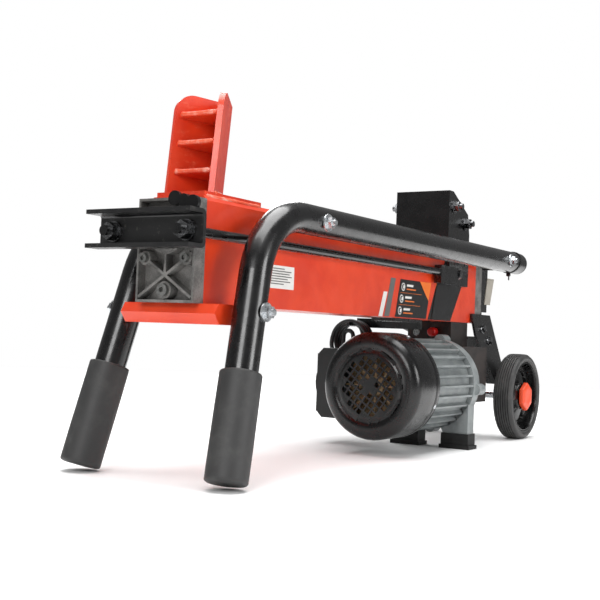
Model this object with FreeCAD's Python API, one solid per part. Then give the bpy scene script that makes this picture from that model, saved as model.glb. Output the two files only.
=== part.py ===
"""Electric horizontal log splitter, modelled as the separate pieces it comes apart into.

Every number is in millimetres. X runs from the splitting wedge (front) to the wheels (rear), -Y is the
side that the motor hangs on, +Z is up, and the floor is Z = 0. Pieces are drawn with X = 0 on the front
face of the beam and are moved by SHIFT_X when they are saved, so the origin lies half way along the machine.
"""
import os
import FreeCAD
import Part
from math import atan2, cos, degrees, hypot, pi, radians, sin, sqrt, tan
from FreeCAD import Vector

os.makedirs("parts", exist_ok=True)

# ---- driving dimensions -------------------------------------------------------------------------
BEAM_L = 785.0            # length of the red beam
BEAM_HALF = 42.2          # half its width
BEAM_BOTTOM = 201.2
BEAM_SHOULDER = 319.0     # where the 45 degree facet starts
BEAM_TOP = 325.0
BEAM_WALL = 4.0

CYL_Z = 281.4             # axis of the hydraulic cylinder, the rod and the crosspiece
CYL_BORE = 28.0           # bore radius
CYL_OUTER = 32.0
ROD_R = 14.0
RUN_GAP = 0.05            # radial clearance of a running fit

TIE_Y = 53.0              # tie rods beside the beam
TIE_Z = 280.0
TIE_R = 6.0
WEB_FRONT = -47.0         # front face of the crosspiece's web
CROSS_HALF = 74.5

PUSHER_X = 648.0          # face of the pusher
PUSHER_HALF = 48.75
PUSHER_TOP = 418.4
CHEEK_REAR = 735.0
CHEEK_LOW = 262.0

TUBE_R = 19.0             # legs and side rails, one bent tube a side
TUBE_WALL = 2.0
TUBE_BEND = 105.0
RAIL_Y = 81.0
RAIL_Z = 313.5
RAIL_END = 876.0
LEG_X = -31.0             # middle of a foot's sole
LEG_Y = 106.4
LEG_KNEE_X = 58.0         # where the leg's line meets the rail's line
SLEEVE_R = 24.5
SLEEVE_L = 124.0
SLEEVE_SOLE = 7.0

AXLE_X = 851.0
WHEEL_R = 75.0
WHEEL_OUT = 118.0         # outer face of a wheel
WHEEL_IN = 83.0
AXLE_R = 7.0

MOTOR_Y = -53.0
MOTOR_Z = 100.0
FAN_X = 380.0             # front of the fan cover
FAN_R = 78.0
FAN_BACK = 456.0
BODY_R = 64.0
BODY_BACK = 596.0
SHIELD_BACK = 628.0
PUMP_FRONT = 628.0
PUMP_BACK = 742.0

BOX_X0, BOX_X1 = 482.0, 548.0      # switch box
BOX_Y0, BOX_Y1 = 21.0, 92.0
BOX_Z0, BOX_Z1 = 41.0, 150.5

FRONT_TIP = -72.0                  # foremost point: the crosspiece's flanges
SHIFT_X = -(FRONT_TIP + AXLE_X + WHEEL_R) / 2

LEFT, RIGHT = 1, -1                # +Y and -Y


# ---- helpers -------------------------------------------------------------------------------------
def box(x0, x1, y0, y1, z0, z1):
    return Part.makeBox(x1 - x0, y1 - y0, z1 - z0, Vector(x0, y0, z0))


def mid_box(x0, x1, half_y, z0, z1):
    return box(x0, x1, -half_y, half_y, z0, z1)


def rod(start, end, radius):
    a, b = Vector(*start), Vector(*end)
    return Part.makeCylinder(radius, (b - a).Length, a, b - a)


def ring(start, end, outer, inner):
    return rod(start, end, outer).cut(rod(start, end, inner))


def prism_xz(points, y0, y1):
    """A flat outline in X and Z, carried from y0 to y1."""
    wire = Part.makePolygon([Vector(x, y0, z) for x, z in points + points[:1]])
    return Part.Face(wire).extrude(Vector(0, y1 - y0, 0))


def prism_yz(points, x0, x1):
    wire = Part.makePolygon([Vector(x0, y, z) for y, z in points + points[:1]])
    return Part.Face(wire).extrude(Vector(x1 - x0, 0, 0))


def prism_xy(points, z0, z1):
    wire = Part.makePolygon([Vector(x, y, z0) for x, y in points + points[:1]])
    return Part.Face(wire).extrude(Vector(0, 0, z1 - z0))


def hexagon(start, end, across_flats):
    """A hexagonal bar between two points."""
    a, b = Vector(*start), Vector(*end)
    corner = across_flats / sqrt(3)
    points = [Vector(corner * cos(radians(60 * i)), corner * sin(radians(60 * i)), 0) for i in range(7)]
    bar = Part.Face(Part.makePolygon(points)).extrude(Vector(0, 0, (b - a).Length))
    bar.Placement = FreeCAD.Placement(a, FreeCAD.Rotation(Vector(0, 0, 1), b - a))
    return bar


def fuse(shapes):
    first = shapes[0]
    return first.multiFuse(shapes[1:]).removeSplitter() if len(shapes) > 1 else first


def group(shapes):
    return Part.makeCompound(shapes)


def both_sides(make):
    """The same piece on the left and on the right, as two solids of one node."""
    return group([make(LEFT), make(RIGHT)])


def swept_tube(points, bends, outer, inner=0.0):
    """A round bar or tube along straight runs joined by tangent arcs of the radii in bends."""
    corners = [Vector(*p) for p in points]
    edges = []
    start = corners[0]
    for before, here, after, radius in zip(corners, corners[1:], corners[2:], bends):
        u, v = (here - before).normalize(), (after - here).normalize()
        turn = u.getAngle(v)
        reach = radius * tan(turn / 2)
        a, b = here - u * reach, here + v * reach
        inward = (v - u).normalize()
        middle = here + inward * (radius / cos(turn / 2) - radius)
        edges.append(Part.LineSegment(start, a).toShape())
        edges.append(Part.Arc(a, middle, b).toShape())
        start = b
    edges.append(Part.LineSegment(start, corners[-1]).toShape())
    path = Part.Wire(edges)
    direction = (corners[1] - corners[0]).normalize()

    def sweep(radius):
        circle = Part.Wire([Part.Circle(corners[0], direction, radius).toShape()])
        return path.makePipeShell([circle], True, False)

    solid = sweep(outer)
    return (solid.cut(sweep(inner)) if inner else solid), path.Length


def save(name, shape):
    shape = shape.copy()
    shape.translate(Vector(SHIFT_X, 0, 0))
    solids = shape.Solids
    if not solids or not shape.isValid():
        raise RuntimeError(name + " is not a valid solid")
    shape.exportStep("parts/" + name + ".step")
    print(f"{name:22s} solids {len(solids):2d}  volume {sum(s.Volume for s in solids) / 1000:9.1f} cm3")


# ---- beam, end caps and cylinder -----------------------------------------------------------------
def beam_profile(inset):
    half, low, top = BEAM_HALF - inset, BEAM_BOTTOM + inset, BEAM_TOP - inset
    facet = BEAM_TOP - BEAM_SHOULDER
    return [(-half, low), (half, low), (half, top - facet), (half - facet, top), (facet - half, top),
            (-half, top - facet)]


def beam_housing():
    shell = prism_yz(beam_profile(0), 0, BEAM_L)
    shell = shell.cut(prism_yz(beam_profile(BEAM_WALL), -1, BEAM_L + 1))
    for side in (LEFT, RIGHT):                  # threaded holes for the rail bolts
        shell = shell.cut(rod((172, side * 30, RAIL_Z - 3), (172, side * 60, RAIL_Z - 3), 4.2))
    return shell


CAP_BACK, CAP_FRONT = -0.2, -19.0
CAP_TOP = 321.0
CAP_SCREWS = [(30, 252), (-30, 252), (20, 303), (-20, 303)]
BLEED_Y, BLEED_Z = -31.0, 316.0


def front_end_cap():
    cap = mid_box(CAP_FRONT, CAP_BACK, BEAM_HALF, BEAM_BOTTOM, CAP_TOP)
    pocket = mid_box(CAP_FRONT - 1, CAP_BACK - 6, BEAM_HALF - 3, BEAM_BOTTOM + 3, CAP_TOP - 3)
    walls = [cap.cut(pocket)]
    cross_z = 232.4
    rib = 1.6
    for y, z in CAP_SCREWS[:2]:                 # ribs that cross below the rod
        for end_y, end_z in ((y, z), (y, 2 * cross_z - z)):
            span = hypot(end_y, end_z - cross_z)
            bar = box(CAP_FRONT, CAP_BACK - 6, 0, span + 10, cross_z - rib, cross_z + rib)
            bar.rotate(Vector(0, 0, cross_z), Vector(1, 0, 0), degrees(atan2(end_z - cross_z, end_y)))
            walls.append(bar.common(cap))
    walls.append(mid_box(CAP_FRONT, CAP_BACK - 6, rib, cross_z, CYL_Z))
    walls.append(rod((CAP_FRONT, 0, CYL_Z), (CAP_BACK - 6, 0, CYL_Z), 25))
    walls.append(rod((CAP_FRONT, 0, 215.3), (CAP_BACK - 6, 0, 215.3), 10))
    walls.append(box(CAP_FRONT, CAP_BACK - 6, -29, -10, CAP_TOP - 18, CAP_TOP))
    for y, z in CAP_SCREWS:
        walls.append(rod((CAP_FRONT, y, z), (CAP_BACK - 6, y, z), 8))
    body = fuse(walls)
    body = body.cut(rod((CAP_FRONT - 1, 0, CYL_Z), (1, 0, CYL_Z), 20))
    body = body.cut(rod((CAP_FRONT - 1, 0, 215.3), (CAP_FRONT + 10, 0, 215.3), 6))
    body = body.cut(rod((CAP_FRONT - 1, BLEED_Y, BLEED_Z), (CAP_FRONT + 11, BLEED_Y, BLEED_Z), 3 + RUN_GAP))
    for y, z in CAP_SCREWS:
        body = body.cut(rod((CAP_FRONT - 1, y, z), (1, y, z), 3.1))
    return body


def front_cap_screws():
    screws = []
    for y, z in CAP_SCREWS:
        head = rod((CAP_FRONT - 5, y, z), (CAP_FRONT, y, z), 5.6)
        head = head.cut(hexagon((CAP_FRONT - 6, y, z), (CAP_FRONT - 2.5, y, z), 5))
        screws.append(head.fuse(rod((CAP_FRONT, y, z), (CAP_BACK, y, z), 3)))
    return group(screws)


def oil_plug():
    head = rod((CAP_FRONT - 5, 0, 215.3), (CAP_FRONT, 0, 215.3), 7.5)
    head = head.cut(hexagon((CAP_FRONT - 6, 0, 215.3), (CAP_FRONT - 1.5, 0, 215.3), 6))
    return head.fuse(rod((CAP_FRONT, 0, 215.3), (CAP_FRONT + 9, 0, 215.3), 5.8))


def bleed_screw():
    """A butterfly screw in the front of the cap: a crown with a round lobe to each side."""
    front, lobe = CAP_FRONT - 10.5, 8.5
    pieces = [rod((front, BLEED_Y, BLEED_Z), (CAP_FRONT - 0.4, BLEED_Y, BLEED_Z), 7.5),
              rod((CAP_FRONT - 0.4, BLEED_Y, BLEED_Z), (CAP_FRONT + 10, BLEED_Y, BLEED_Z), 3)]
    for side in (LEFT, RIGHT):
        y, z = BLEED_Y + side * 13.0, BLEED_Z + side * 2.8
        pieces.append(rod((front, y, z), (front + 5, y, z), lobe))
    return fuse(pieces)


def rod_gland():
    gland = rod((CAP_FRONT - 2, 0, CYL_Z), (CAP_FRONT, 0, CYL_Z), 23)
    gland = gland.fuse(rod((CAP_FRONT, 0, CYL_Z), (-0.2, 0, CYL_Z), 19.9))
    return gland.cut(rod((CAP_FRONT - 3, 0, CYL_Z), (1, 0, CYL_Z), ROD_R + RUN_GAP))


def cylinder_tube():
    return ring((0.2, 0, CYL_Z), (BEAM_L - 0.2, 0, CYL_Z), CYL_OUTER - 0.6, CYL_BORE)


REAR_CAP_BACK = 813.0


def rear_end_cap():
    cap = mid_box(BEAM_L + 0.2, REAR_CAP_BACK, BEAM_HALF, BEAM_BOTTOM, BEAM_SHOULDER)
    cap = cap.makeFillet(4, [e for e in cap.Edges if abs(e.tangentAt(e.FirstParameter).x) > 0.9])
    for y, z in CAP_SCREWS:
        cap = cap.cut(rod((REAR_CAP_BACK - 20, y, z), (REAR_CAP_BACK + 1, y, z), 3.1))
    return cap


# ---- ram: everything that the piston carries ------------------------------------------------------
def crosspiece():
    """A channel lying across the front, flanges forward, with rounded bends."""
    thick, bend = 5.0, 8.0
    low, high = CYL_Z - 21.75, CYL_Z + 21.75
    back = WEB_FRONT + thick
    outer = mid_box(FRONT_TIP, back, CROSS_HALF, low, high)
    spine = [e for e in outer.Edges if abs(e.tangentAt(0).y) > 0.9 and abs(e.CenterOfMass.x - back) < 0.01]
    outer = outer.makeFillet(bend, spine)
    inner = mid_box(FRONT_TIP - 1, WEB_FRONT, CROSS_HALF + 1, low + thick, high - thick)
    spine = [e for e in inner.Edges
             if abs(e.tangentAt(0).y) > 0.9 and abs(e.CenterOfMass.x - WEB_FRONT) < 0.01]
    inner = inner.makeFillet(bend - thick, spine)
    body = outer.cut(inner)
    for side in (LEFT, RIGHT):
        y = side * TIE_Y
        body = body.cut(rod((WEB_FRONT - 1, y, TIE_Z), (back + 1, y, TIE_Z), TIE_R + 0.3))
    return body


LUG_FRONT, LUG_BACK = 602.0, 671.0


def tie_rods():
    x0, x1 = WEB_FRONT - 19, LUG_BACK + 14
    return both_sides(lambda s: rod((x0, s * TIE_Y, TIE_Z), (x1, s * TIE_Y, TIE_Z), TIE_R))


def tie_rod_fasteners():
    """A nut at each end of both rods, with a washer under the front ones."""
    nuts = []
    for side in (LEFT, RIGHT):
        y = side * TIE_Y
        nuts.append(ring((WEB_FRONT - 3, y, TIE_Z), (WEB_FRONT, y, TIE_Z), 12, TIE_R + 0.3))
        for x0, x1 in ((WEB_FRONT - 13, WEB_FRONT - 3), (LUG_BACK, LUG_BACK + 10)):
            nut = hexagon((x0, side * TIE_Y, TIE_Z), (x1, side * TIE_Y, TIE_Z), 18)
            nuts.append(nut.cut(rod((x0 - 1, side * TIE_Y, TIE_Z), (x1 + 1, side * TIE_Y, TIE_Z), TIE_R)))
    return group(nuts)


PISTON_FRONT, PISTON_BACK = 560.0, 590.0


def piston_rod():
    return rod((WEB_FRONT + 5, 0, CYL_Z), (PISTON_FRONT, 0, CYL_Z), ROD_R)


def piston():
    body = rod((PISTON_FRONT, 0, CYL_Z), (PISTON_BACK, 0, CYL_Z), CYL_BORE - RUN_GAP)
    for x in (566, 580):                        # seal grooves
        body = body.cut(ring((x, 0, CYL_Z), (x + 4, 0, CYL_Z), CYL_BORE + 1, CYL_BORE - 3))
    return body


def piston_seals():
    return group([ring((x + 0.2, 0, CYL_Z), (x + 3.8, 0, CYL_Z), CYL_BORE - RUN_GAP, CYL_BORE - 3)
                  for x in (566, 580)])


def pusher_face():
    plate = mid_box(PUSHER_X, PUSHER_X + 8, PUSHER_HALF, BEAM_TOP + 2, PUSHER_TOP)
    return plate.fuse(mid_box(PUSHER_X + 8, PUSHER_X + 16, BEAM_HALF + 0.5, PUSHER_TOP - 6, PUSHER_TOP))


CHEEK = [(PUSHER_X + 8, CHEEK_LOW), (CHEEK_REAR, CHEEK_LOW), (CHEEK_REAR, 352), (727, 386), (664, PUSHER_TOP),
         (PUSHER_X + 8, PUSHER_TOP)]
PUSHER_BOLTS = [(668, 393), (715, 369)]


def pusher_cheek(side):
    inner, outer = BEAM_HALF + 0.55, PUSHER_HALF
    plate = prism_xz(CHEEK, side * inner, side * outer)
    for x, z in PUSHER_BOLTS:
        plate = plate.cut(rod((x, side * 30, z), (x, side * 60, z), 5.3))
    plate = plate.cut(rod((PUSHER_X, side * TIE_Y, TIE_Z), (LUG_BACK, side * TIE_Y, TIE_Z), TIE_R))
    return plate.cut(mid_box(LUG_BACK, LUG_BACK + 18, 70, TIE_Z - 11, TIE_Z + 11))


def rod_lug(side):
    """The block on a cheek that the tie rod pulls."""
    low, high = CHEEK_LOW, 291.0
    y0, y1 = (PUSHER_HALF, 59.5) if side == LEFT else (-59.5, -PUSHER_HALF)
    lug = box(LUG_FRONT, LUG_BACK, y0, y1, low, high)
    y0, y1 = sorted((side * 47.2, side * PUSHER_HALF))
    inside = box(LUG_FRONT, PUSHER_X + 8, y0, y1, low, high)
    lug = lug.fuse(inside)
    hole = rod((LUG_FRONT - 1, side * TIE_Y, TIE_Z), (LUG_BACK + 1, side * TIE_Y, TIE_Z), TIE_R)
    return lug.removeSplitter().cut(hole)


def pusher_cheeks():
    return group([pusher_cheek(LEFT), pusher_cheek(RIGHT), rod_lug(LEFT), rod_lug(RIGHT)])


def pusher_slide_pad():
    return mid_box(PUSHER_X + 10, CHEEK_REAR - 2, BEAM_HALF - 8, BEAM_TOP + 0.4, BEAM_TOP + 16)


def pusher_fasteners():
    """Two through bolts, each with a washer and a nut at both ends."""
    pieces = []
    for x, z in PUSHER_BOLTS:
        pieces.append(rod((x, -PUSHER_HALF - 16, z), (x, PUSHER_HALF + 16, z), 5))
        for side in (LEFT, RIGHT):
            y = side * PUSHER_HALF
            pieces.append(ring((x, y, z), (x, y + side * 2, z), 11, 5.2))
            nut = hexagon((x, y + side * 2, z), (x, y + side * 10, z), 16)
            pieces.append(nut.cut(rod((x, y, z), (x, y + side * 11, z), 5)))
    return group(pieces)


# ---- wedge ----------------------------------------------------------------------------------------
WEDGE_BLADE_X, WEDGE_FRONT_X = 84.0, 18.0
WEDGE_OPEN = 37.0         # half width of the V at its open front
WEDGE_PLATE = 7.0
WEDGE_TOP = 456.0
WEDGE_LEAN = 6.5
WEDGE_BASE = 331.0


def lean(shape):
    shape.rotate(Vector(WEDGE_FRONT_X, 0, BEAM_TOP), Vector(0, 1, 0), WEDGE_LEAN)
    floor = mid_box(-200, 300, 200, 0, WEDGE_BASE)
    return shape.cut(floor)


def wedge_plate(side):
    """One wing of the V, cut on the middle plane where it meets the other, with a rounded top corner."""
    run = Vector(WEDGE_BLADE_X - WEDGE_FRONT_X, -WEDGE_OPEN, 0)
    length = run.Length
    height = (WEDGE_TOP - 300) / cos(radians(WEDGE_LEAN))
    flat = box(0, length + 12, -WEDGE_PLATE, 0, 0, height)
    corner = [e for e in flat.Edges if abs(e.CenterOfMass.x) < 0.01 and abs(e.CenterOfMass.z - height) < 0.01]
    flat = flat.makeFillet(24, corner)
    flat.rotate(Vector(0, 0, 0), Vector(0, 0, 1), degrees(atan2(run.y, run.x)))
    flat.translate(Vector(WEDGE_FRONT_X, WEDGE_OPEN, 300))
    flat = flat.cut(box(-100, 300, -200, 0, 200, 600))
    if side == RIGHT:
        flat = flat.mirror(Vector(0, 0, 0), Vector(0, 1, 0))
    return lean(flat)


def wedge_gussets():
    """Three level webs that are welded into the V between the plates."""
    half_angle = atan2(WEDGE_OPEN, WEDGE_BLADE_X - WEDGE_FRONT_X)
    inner_apex = WEDGE_BLADE_X - WEDGE_PLATE / sin(half_angle)
    front = WEDGE_FRONT_X + 2
    half = (inner_apex - front) * tan(half_angle)
    outline = [(front, half), (inner_apex, 0), (front, -half)]
    return [lean(prism_xy(outline, z, z + 5)) for z in (356, 391, 426)]


def wedge():
    return group([wedge_plate(LEFT), wedge_plate(RIGHT)] + wedge_gussets())


def wedge_base():
    return mid_box(4, 118, BEAM_HALF - 7, BEAM_TOP, WEDGE_BASE)


# ---- frame: legs, rails and what bolts them on ------------------------------------------------------
def leg_line(z):
    share = (z - SLEEVE_SOLE) / (RAIL_Z - SLEEVE_SOLE)
    return LEG_X + share * (LEG_KNEE_X - LEG_X), LEG_Y + share * (RAIL_Y - LEG_Y)


LEG_DIRECTION = Vector(LEG_KNEE_X - LEG_X, RAIL_Y - LEG_Y, RAIL_Z - SLEEVE_SOLE).normalize()
BOLTS = [(26.0, 194.0), (172.0, RAIL_Z - 3.0), (802.0, RAIL_Z)]    # lower leg, front of rail, rear of rail
BOLT_ENDS = (60.0, 34.0, 50.0)                                   # how near to the middle each bolt reaches


def side_tube(side):
    sole = Vector(LEG_X, LEG_Y, SLEEVE_SOLE) + LEG_DIRECTION * 6
    points = [(sole.x, side * sole.y, sole.z), (LEG_KNEE_X, side * RAIL_Y, RAIL_Z),
              (RAIL_END, side * RAIL_Y, RAIL_Z)]
    tube = swept_tube(points, [TUBE_BEND], TUBE_R, TUBE_R - TUBE_WALL)[0]
    for x, z in BOLTS:
        tube = tube.cut(rod((x, side * 40, z), (x, side * 130, z), 4.3))
    return tube


def foot_sleeve(side):
    axis = Vector(LEG_DIRECTION.x, side * LEG_DIRECTION.y, LEG_DIRECTION.z)
    sole = Vector(LEG_X, side * LEG_Y, SLEEVE_SOLE)
    body = Part.makeCylinder(SLEEVE_R, SLEEVE_L, sole, axis)
    body = body.makeFillet(3, [e for e in body.Edges if e.Closed])
    return body.cut(Part.makeCylinder(TUBE_R, SLEEVE_L, sole + axis * 6, axis))


def tube_end_plug(side):
    y = side * RAIL_Y
    head = rod((RAIL_END, y, RAIL_Z), (RAIL_END + 11, y, RAIL_Z), TUBE_R)
    head = head.makeFillet(6, [e for e in head.Edges if e.Closed and e.CenterOfMass.x > RAIL_END + 5])
    return head.fuse(rod((RAIL_END - 16, y, RAIL_Z), (RAIL_END, y, RAIL_Z), TUBE_R - TUBE_WALL))


def cross_bracket():
    """Folded section under the front of the beam that both legs bolt to."""
    outer = [(-13, 190), (-6, BEAM_BOTTOM), (48, BEAM_BOTTOM), (48, 178), (-4, 178)]
    inner = [(-9, 190), (-4.5, BEAM_BOTTOM - 3), (45, BEAM_BOTTOM - 3), (45, 181), (-2, 181)]
    half = 69.0
    shell = prism_xz(outer, -half, half).cut(prism_xz(inner, -half + 3, half - 3))
    for side in (LEFT, RIGHT):
        shell = shell.cut(rod((26, side * 60, 194), (26, side * 80, 194), 4.3))
    return shell


def bolt_outside(x, z):
    """How far out the tube's surface is at a bolt."""
    return RAIL_Y + TUBE_R if z > 300 else leg_line(z)[1] + TUBE_R + 0.9


def tube_fasteners():
    """Three bolts a side through the tubes, with their nuts and wide washers, and the rail spacers."""
    pieces = []
    for side in (LEFT, RIGHT):
        pieces.append(rail_spacer(side))
        for (x, z), end in zip(BOLTS, BOLT_ENDS):
            y = bolt_outside(x, z)
            pieces.append(rod((x, side * end, z), (x, side * (y + 12), z), 4))
            pieces.append(ring((x, side * y, z), (x, side * (y + 2), z), 11, 4.2))
            nut = hexagon((x, side * (y + 2), z), (x, side * (y + 8.5), z), 13)
            pieces.append(nut.cut(rod((x, side * y, z), (x, side * (y + 9), z), 4)))
    return group(pieces)


def rail_spacer(side):
    """Sleeve on the upper front bolt that holds a rail off the beam."""
    x, z = BOLTS[1]
    sleeve = ring((x, side * BEAM_HALF, z), (x, side * (RAIL_Y - TUBE_R + 0.6), z), 9, 4.2)
    return sleeve.cut(rod((x - 40, side * RAIL_Y, RAIL_Z), (x + 40, side * RAIL_Y, RAIL_Z), TUBE_R))


def rear_bracket():
    """Black plate behind the rear cap with an ear at each side for the rails."""
    back, thick = REAR_CAP_BACK + 0.2, 4.0
    ear = RAIL_Y - TUBE_R - 0.1
    wing = RAIL_Z - 16.5
    plate = mid_box(back, back + thick, ear, wing, 331)
    plate = plate.fuse(mid_box(back, back + thick, BEAM_HALF, 205, wing))
    for side in (LEFT, RIGHT):
        y0, y1 = sorted((side * (BEAM_HALF - thick), side * BEAM_HALF))
        plate = plate.fuse(box(back, back + 26, y0, y1, 222, 300))
        y0, y1 = sorted((side * (ear - thick), side * ear))
        plate = plate.fuse(box(788, back + thick, y0, y1, wing + 3, 331))
        plate = plate.cut(rod((802, side * 50, RAIL_Z), (802, side * 70, RAIL_Z), 4.3))
    return plate.removeSplitter()


# ---- wheels ----------------------------------------------------------------------------------------
BRACKET_TOP, BRACKET_LOW = BEAM_BOTTOM + 16, 62.0
BRACKET_TOP_Y, BRACKET_LOW_Y = 42.5, 74.0            # inner faces of the splayed legs
BRACKET_THICK = 4.0
BRACKET_WEB = 3.0
BRACKET_FRONT, BRACKET_KNEE = (766.0, 180.0), (826.0, 93.0)      # ends of a leg's sloping front edge, X and Z
SPLAY = (BRACKET_LOW_Y - BRACKET_TOP_Y) / (BRACKET_TOP - BRACKET_LOW)


def bracket_inner_y(z):
    return BRACKET_TOP_Y + SPLAY * (BRACKET_TOP - z)


def bracket_leg(side):
    """A splayed side plate of the wheel bracket, from beside the beam down to the axle."""
    outline = [(763, BRACKET_TOP), (846, BRACKET_TOP), (876, 90), (866, BRACKET_LOW), (836, BRACKET_LOW),
               BRACKET_KNEE, BRACKET_FRONT]
    plate = prism_xz(outline, 0, BRACKET_THICK)
    skew = FreeCAD.Matrix()
    skew.A23 = -SPLAY
    skew.A24 = bracket_inner_y(0)
    plate = plate.transformGeometry(skew)
    if side == RIGHT:
        plate = plate.mirror(Vector(0, 0, 0), Vector(0, 1, 0))
    return plate.cut(rod((AXLE_X, -150, WHEEL_R), (AXLE_X, 150, WHEEL_R), AXLE_R))


def wheel_bracket_web():
    """The arched cross plate between the front edges of the two splayed legs."""
    low, high = 95.0, 178.0
    low_half, top_half = bracket_inner_y(low), bracket_inner_y(high)
    width = prism_yz([(-low_half, low), (low_half, low), (top_half, high), (-top_half, high)], 740, 860)
    slab = mid_box(0, BRACKET_WEB, 90, -120, 0)
    lean_back = degrees(atan2(BRACKET_KNEE[0] - BRACKET_FRONT[0], BRACKET_FRONT[1] - BRACKET_KNEE[1]))
    slab.rotate(Vector(0, 0, 0), Vector(0, 1, 0), -lean_back)
    slab.translate(Vector(BRACKET_FRONT[0] + 2, 0, BRACKET_FRONT[1]))
    arch = rod((740, 0, 27), (860, 0, 27), 86)
    return slab.common(width).cut(arch)


def wheel_bracket():
    return group([bracket_leg(LEFT), bracket_leg(RIGHT), wheel_bracket_web()])


def axle():
    return rod((AXLE_X, -WHEEL_OUT + 2, WHEEL_R), (AXLE_X, WHEEL_OUT - 2, WHEEL_R), AXLE_R)


HUB_R = 61.0


def tyre(side):
    body = ring((AXLE_X, side * WHEEL_IN, WHEEL_R), (AXLE_X, side * WHEEL_OUT, WHEEL_R), WHEEL_R, HUB_R)
    edges = [e for e in body.Edges if e.Closed and abs(e.Curve.Radius - WHEEL_R) < 0.01]
    return body.makeFillet(6, edges)


def wheel_hub(side):
    """Moulded hub: outer barrel, a web set back from the face, and a boss that runs on the axle."""
    def barrel(y0, y1, outer, inner):
        return ring((AXLE_X, side * y0, WHEEL_R), (AXLE_X, side * y1, WHEEL_R), outer, inner)
    web_low, web_high = 94.0, 99.0
    return fuse([barrel(WHEEL_IN + 2, WHEEL_OUT - 3, HUB_R, HUB_R - 4),
                 barrel(web_low, web_high, HUB_R - 2, AXLE_R + RUN_GAP),
                 barrel(WHEEL_IN - 1, WHEEL_OUT - 5, 14, AXLE_R + RUN_GAP)])


def hub_cap(side):
    """Six-sided cap clipped over the end of the boss."""
    cap = hexagon((AXLE_X, side * (WHEEL_OUT - 5), WHEEL_R), (AXLE_X, side * (WHEEL_OUT + 4), WHEEL_R), 44)
    return cap.cut(rod((AXLE_X, 0, WHEEL_R), (AXLE_X, side * (WHEEL_OUT - 1), WHEEL_R), AXLE_R + 1))


# ---- motor ------------------------------------------------------------------------------------------
def on_axis(x0, x1, radius, dy=0.0, dz=0.0):
    return rod((x0, MOTOR_Y + dy, MOTOR_Z + dz), (x1, MOTOR_Y + dy, MOTOR_Z + dz), radius)


def on_axis_ring(x0, x1, outer, inner):
    return on_axis(x0, x1, outer).cut(on_axis(x0 - 1, x1 + 1, inner))


def fan_cover():
    cup = on_axis(FAN_X, FAN_BACK, FAN_R)
    cup = cup.makeFillet(16, [e for e in cup.Edges if e.Closed and e.CenterOfMass.x < FAN_X + 1])
    room = on_axis(FAN_X + 2.5, FAN_BACK + 1, FAN_R - 2.5)
    room = room.makeFillet(14, [e for e in room.Edges if e.Closed and e.CenterOfMass.x < FAN_X + 5])
    cup = cup.cut(room)
    pitch, hole, reach = 9.6, 7.0, 41.0
    windows = []
    for i in range(-4, 5):
        for j in range(-4, 5):
            y, z = i * pitch, j * pitch
            if 12 < hypot(y, z) < reach:
                window = box(FAN_X - 1, FAN_X + 4, y - hole / 2, y + hole / 2, z - hole / 2, z + hole / 2)
                windows.append(window)
    grid = Part.makeCompound(windows)
    grid.rotate(Vector(0, 0, 0), Vector(1, 0, 0), 35)
    grid.translate(Vector(0, MOTOR_Y, MOTOR_Z))
    return cup.cut(grid)


def motor_fan():
    hub = on_axis_ring(FAN_X + 20, FAN_X + 50, 14, 7)
    disc = on_axis_ring(FAN_X + 46, FAN_X + 49, 58, 7)
    blades = []
    for i in range(8):
        blade = box(FAN_X + 22, FAN_X + 47, 13, 60, -1.2, 1.2)
        blade.rotate(Vector(0, 0, 0), Vector(1, 0, 0), 45 * i)
        blade.translate(Vector(0, MOTOR_Y, MOTOR_Z))
        blades.append(blade)
    return fuse([hub, disc] + blades)


SHAFT_R = 7.0


def motor_rotor():
    return on_axis(FAN_X + 16, GEAR_X1, SHAFT_R).fuse(on_axis(505, 585, 32))


def motor_housing():
    """Ribbed aluminium body: a barrel with cooling ribs all round and a seat for the switch box."""
    barrel = on_axis_ring(FAN_BACK - 14, BODY_BACK, BODY_R, BODY_R - 5)
    ribs = []
    count = 28
    for i in range(count):
        rib = box(FAN_BACK + 1, BODY_BACK, BODY_R - 1, BODY_R + 7, -1.5, 1.5)
        rib.rotate(Vector(0, 0, 0), Vector(1, 0, 0), 360.0 * i / count)
        rib.translate(Vector(0, MOTOR_Y, MOTOR_Z))
        ribs.append(rib)
    seat = box(BOX_X0 + 8, BOX_X1 - 8, MOTOR_Y + BODY_R - 2, BOX_Y0, MOTOR_Z - 22, MOTOR_Z + 22)
    return fuse([barrel, seat] + ribs)


def motor_stator():
    return on_axis_ring(500, 590, BODY_R - 5.2, 33)


def motor_front_shield():
    """End plate inside the fan cover, with the rim that the cover is screwed to."""
    disc = on_axis_ring(FAN_BACK - 22, FAN_BACK - 14, FAN_R - 2.7, 16)
    return disc.fuse(on_axis_ring(FAN_BACK - 14, FAN_BACK, FAN_R - 2.7, BODY_R))


def motor_bearings():
    return group([on_axis_ring(FAN_BACK - 22, FAN_BACK - 12, 16, SHAFT_R + RUN_GAP),
                  on_axis_ring(SHIELD_BACK - 12, SHIELD_BACK, 16, SHAFT_R + RUN_GAP)])


def motor_rear_shield():
    skirt = on_axis(BODY_BACK, SHIELD_BACK, 72)
    skirt = skirt.makeFillet(14, [e for e in skirt.Edges if e.Closed and e.CenterOfMass.x > SHIELD_BACK - 1])
    skirt = skirt.cut(on_axis(BODY_BACK - 1, SHIELD_BACK - 12, 62))
    lugs = []
    for turn in (0, 90, 180, 270):
        lug = rod((SHIELD_BACK - 24, 70, 0), (SHIELD_BACK, 70, 0), 9)
        lug.rotate(Vector(0, 0, 0), Vector(1, 0, 0), turn + 5)
        lug.translate(Vector(0, MOTOR_Y, MOTOR_Z))
        lugs.append(lug)
    body = fuse([skirt] + lugs)
    return body.cut(on_axis(BODY_BACK - 1, SHIELD_BACK + 1, 16))


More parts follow.
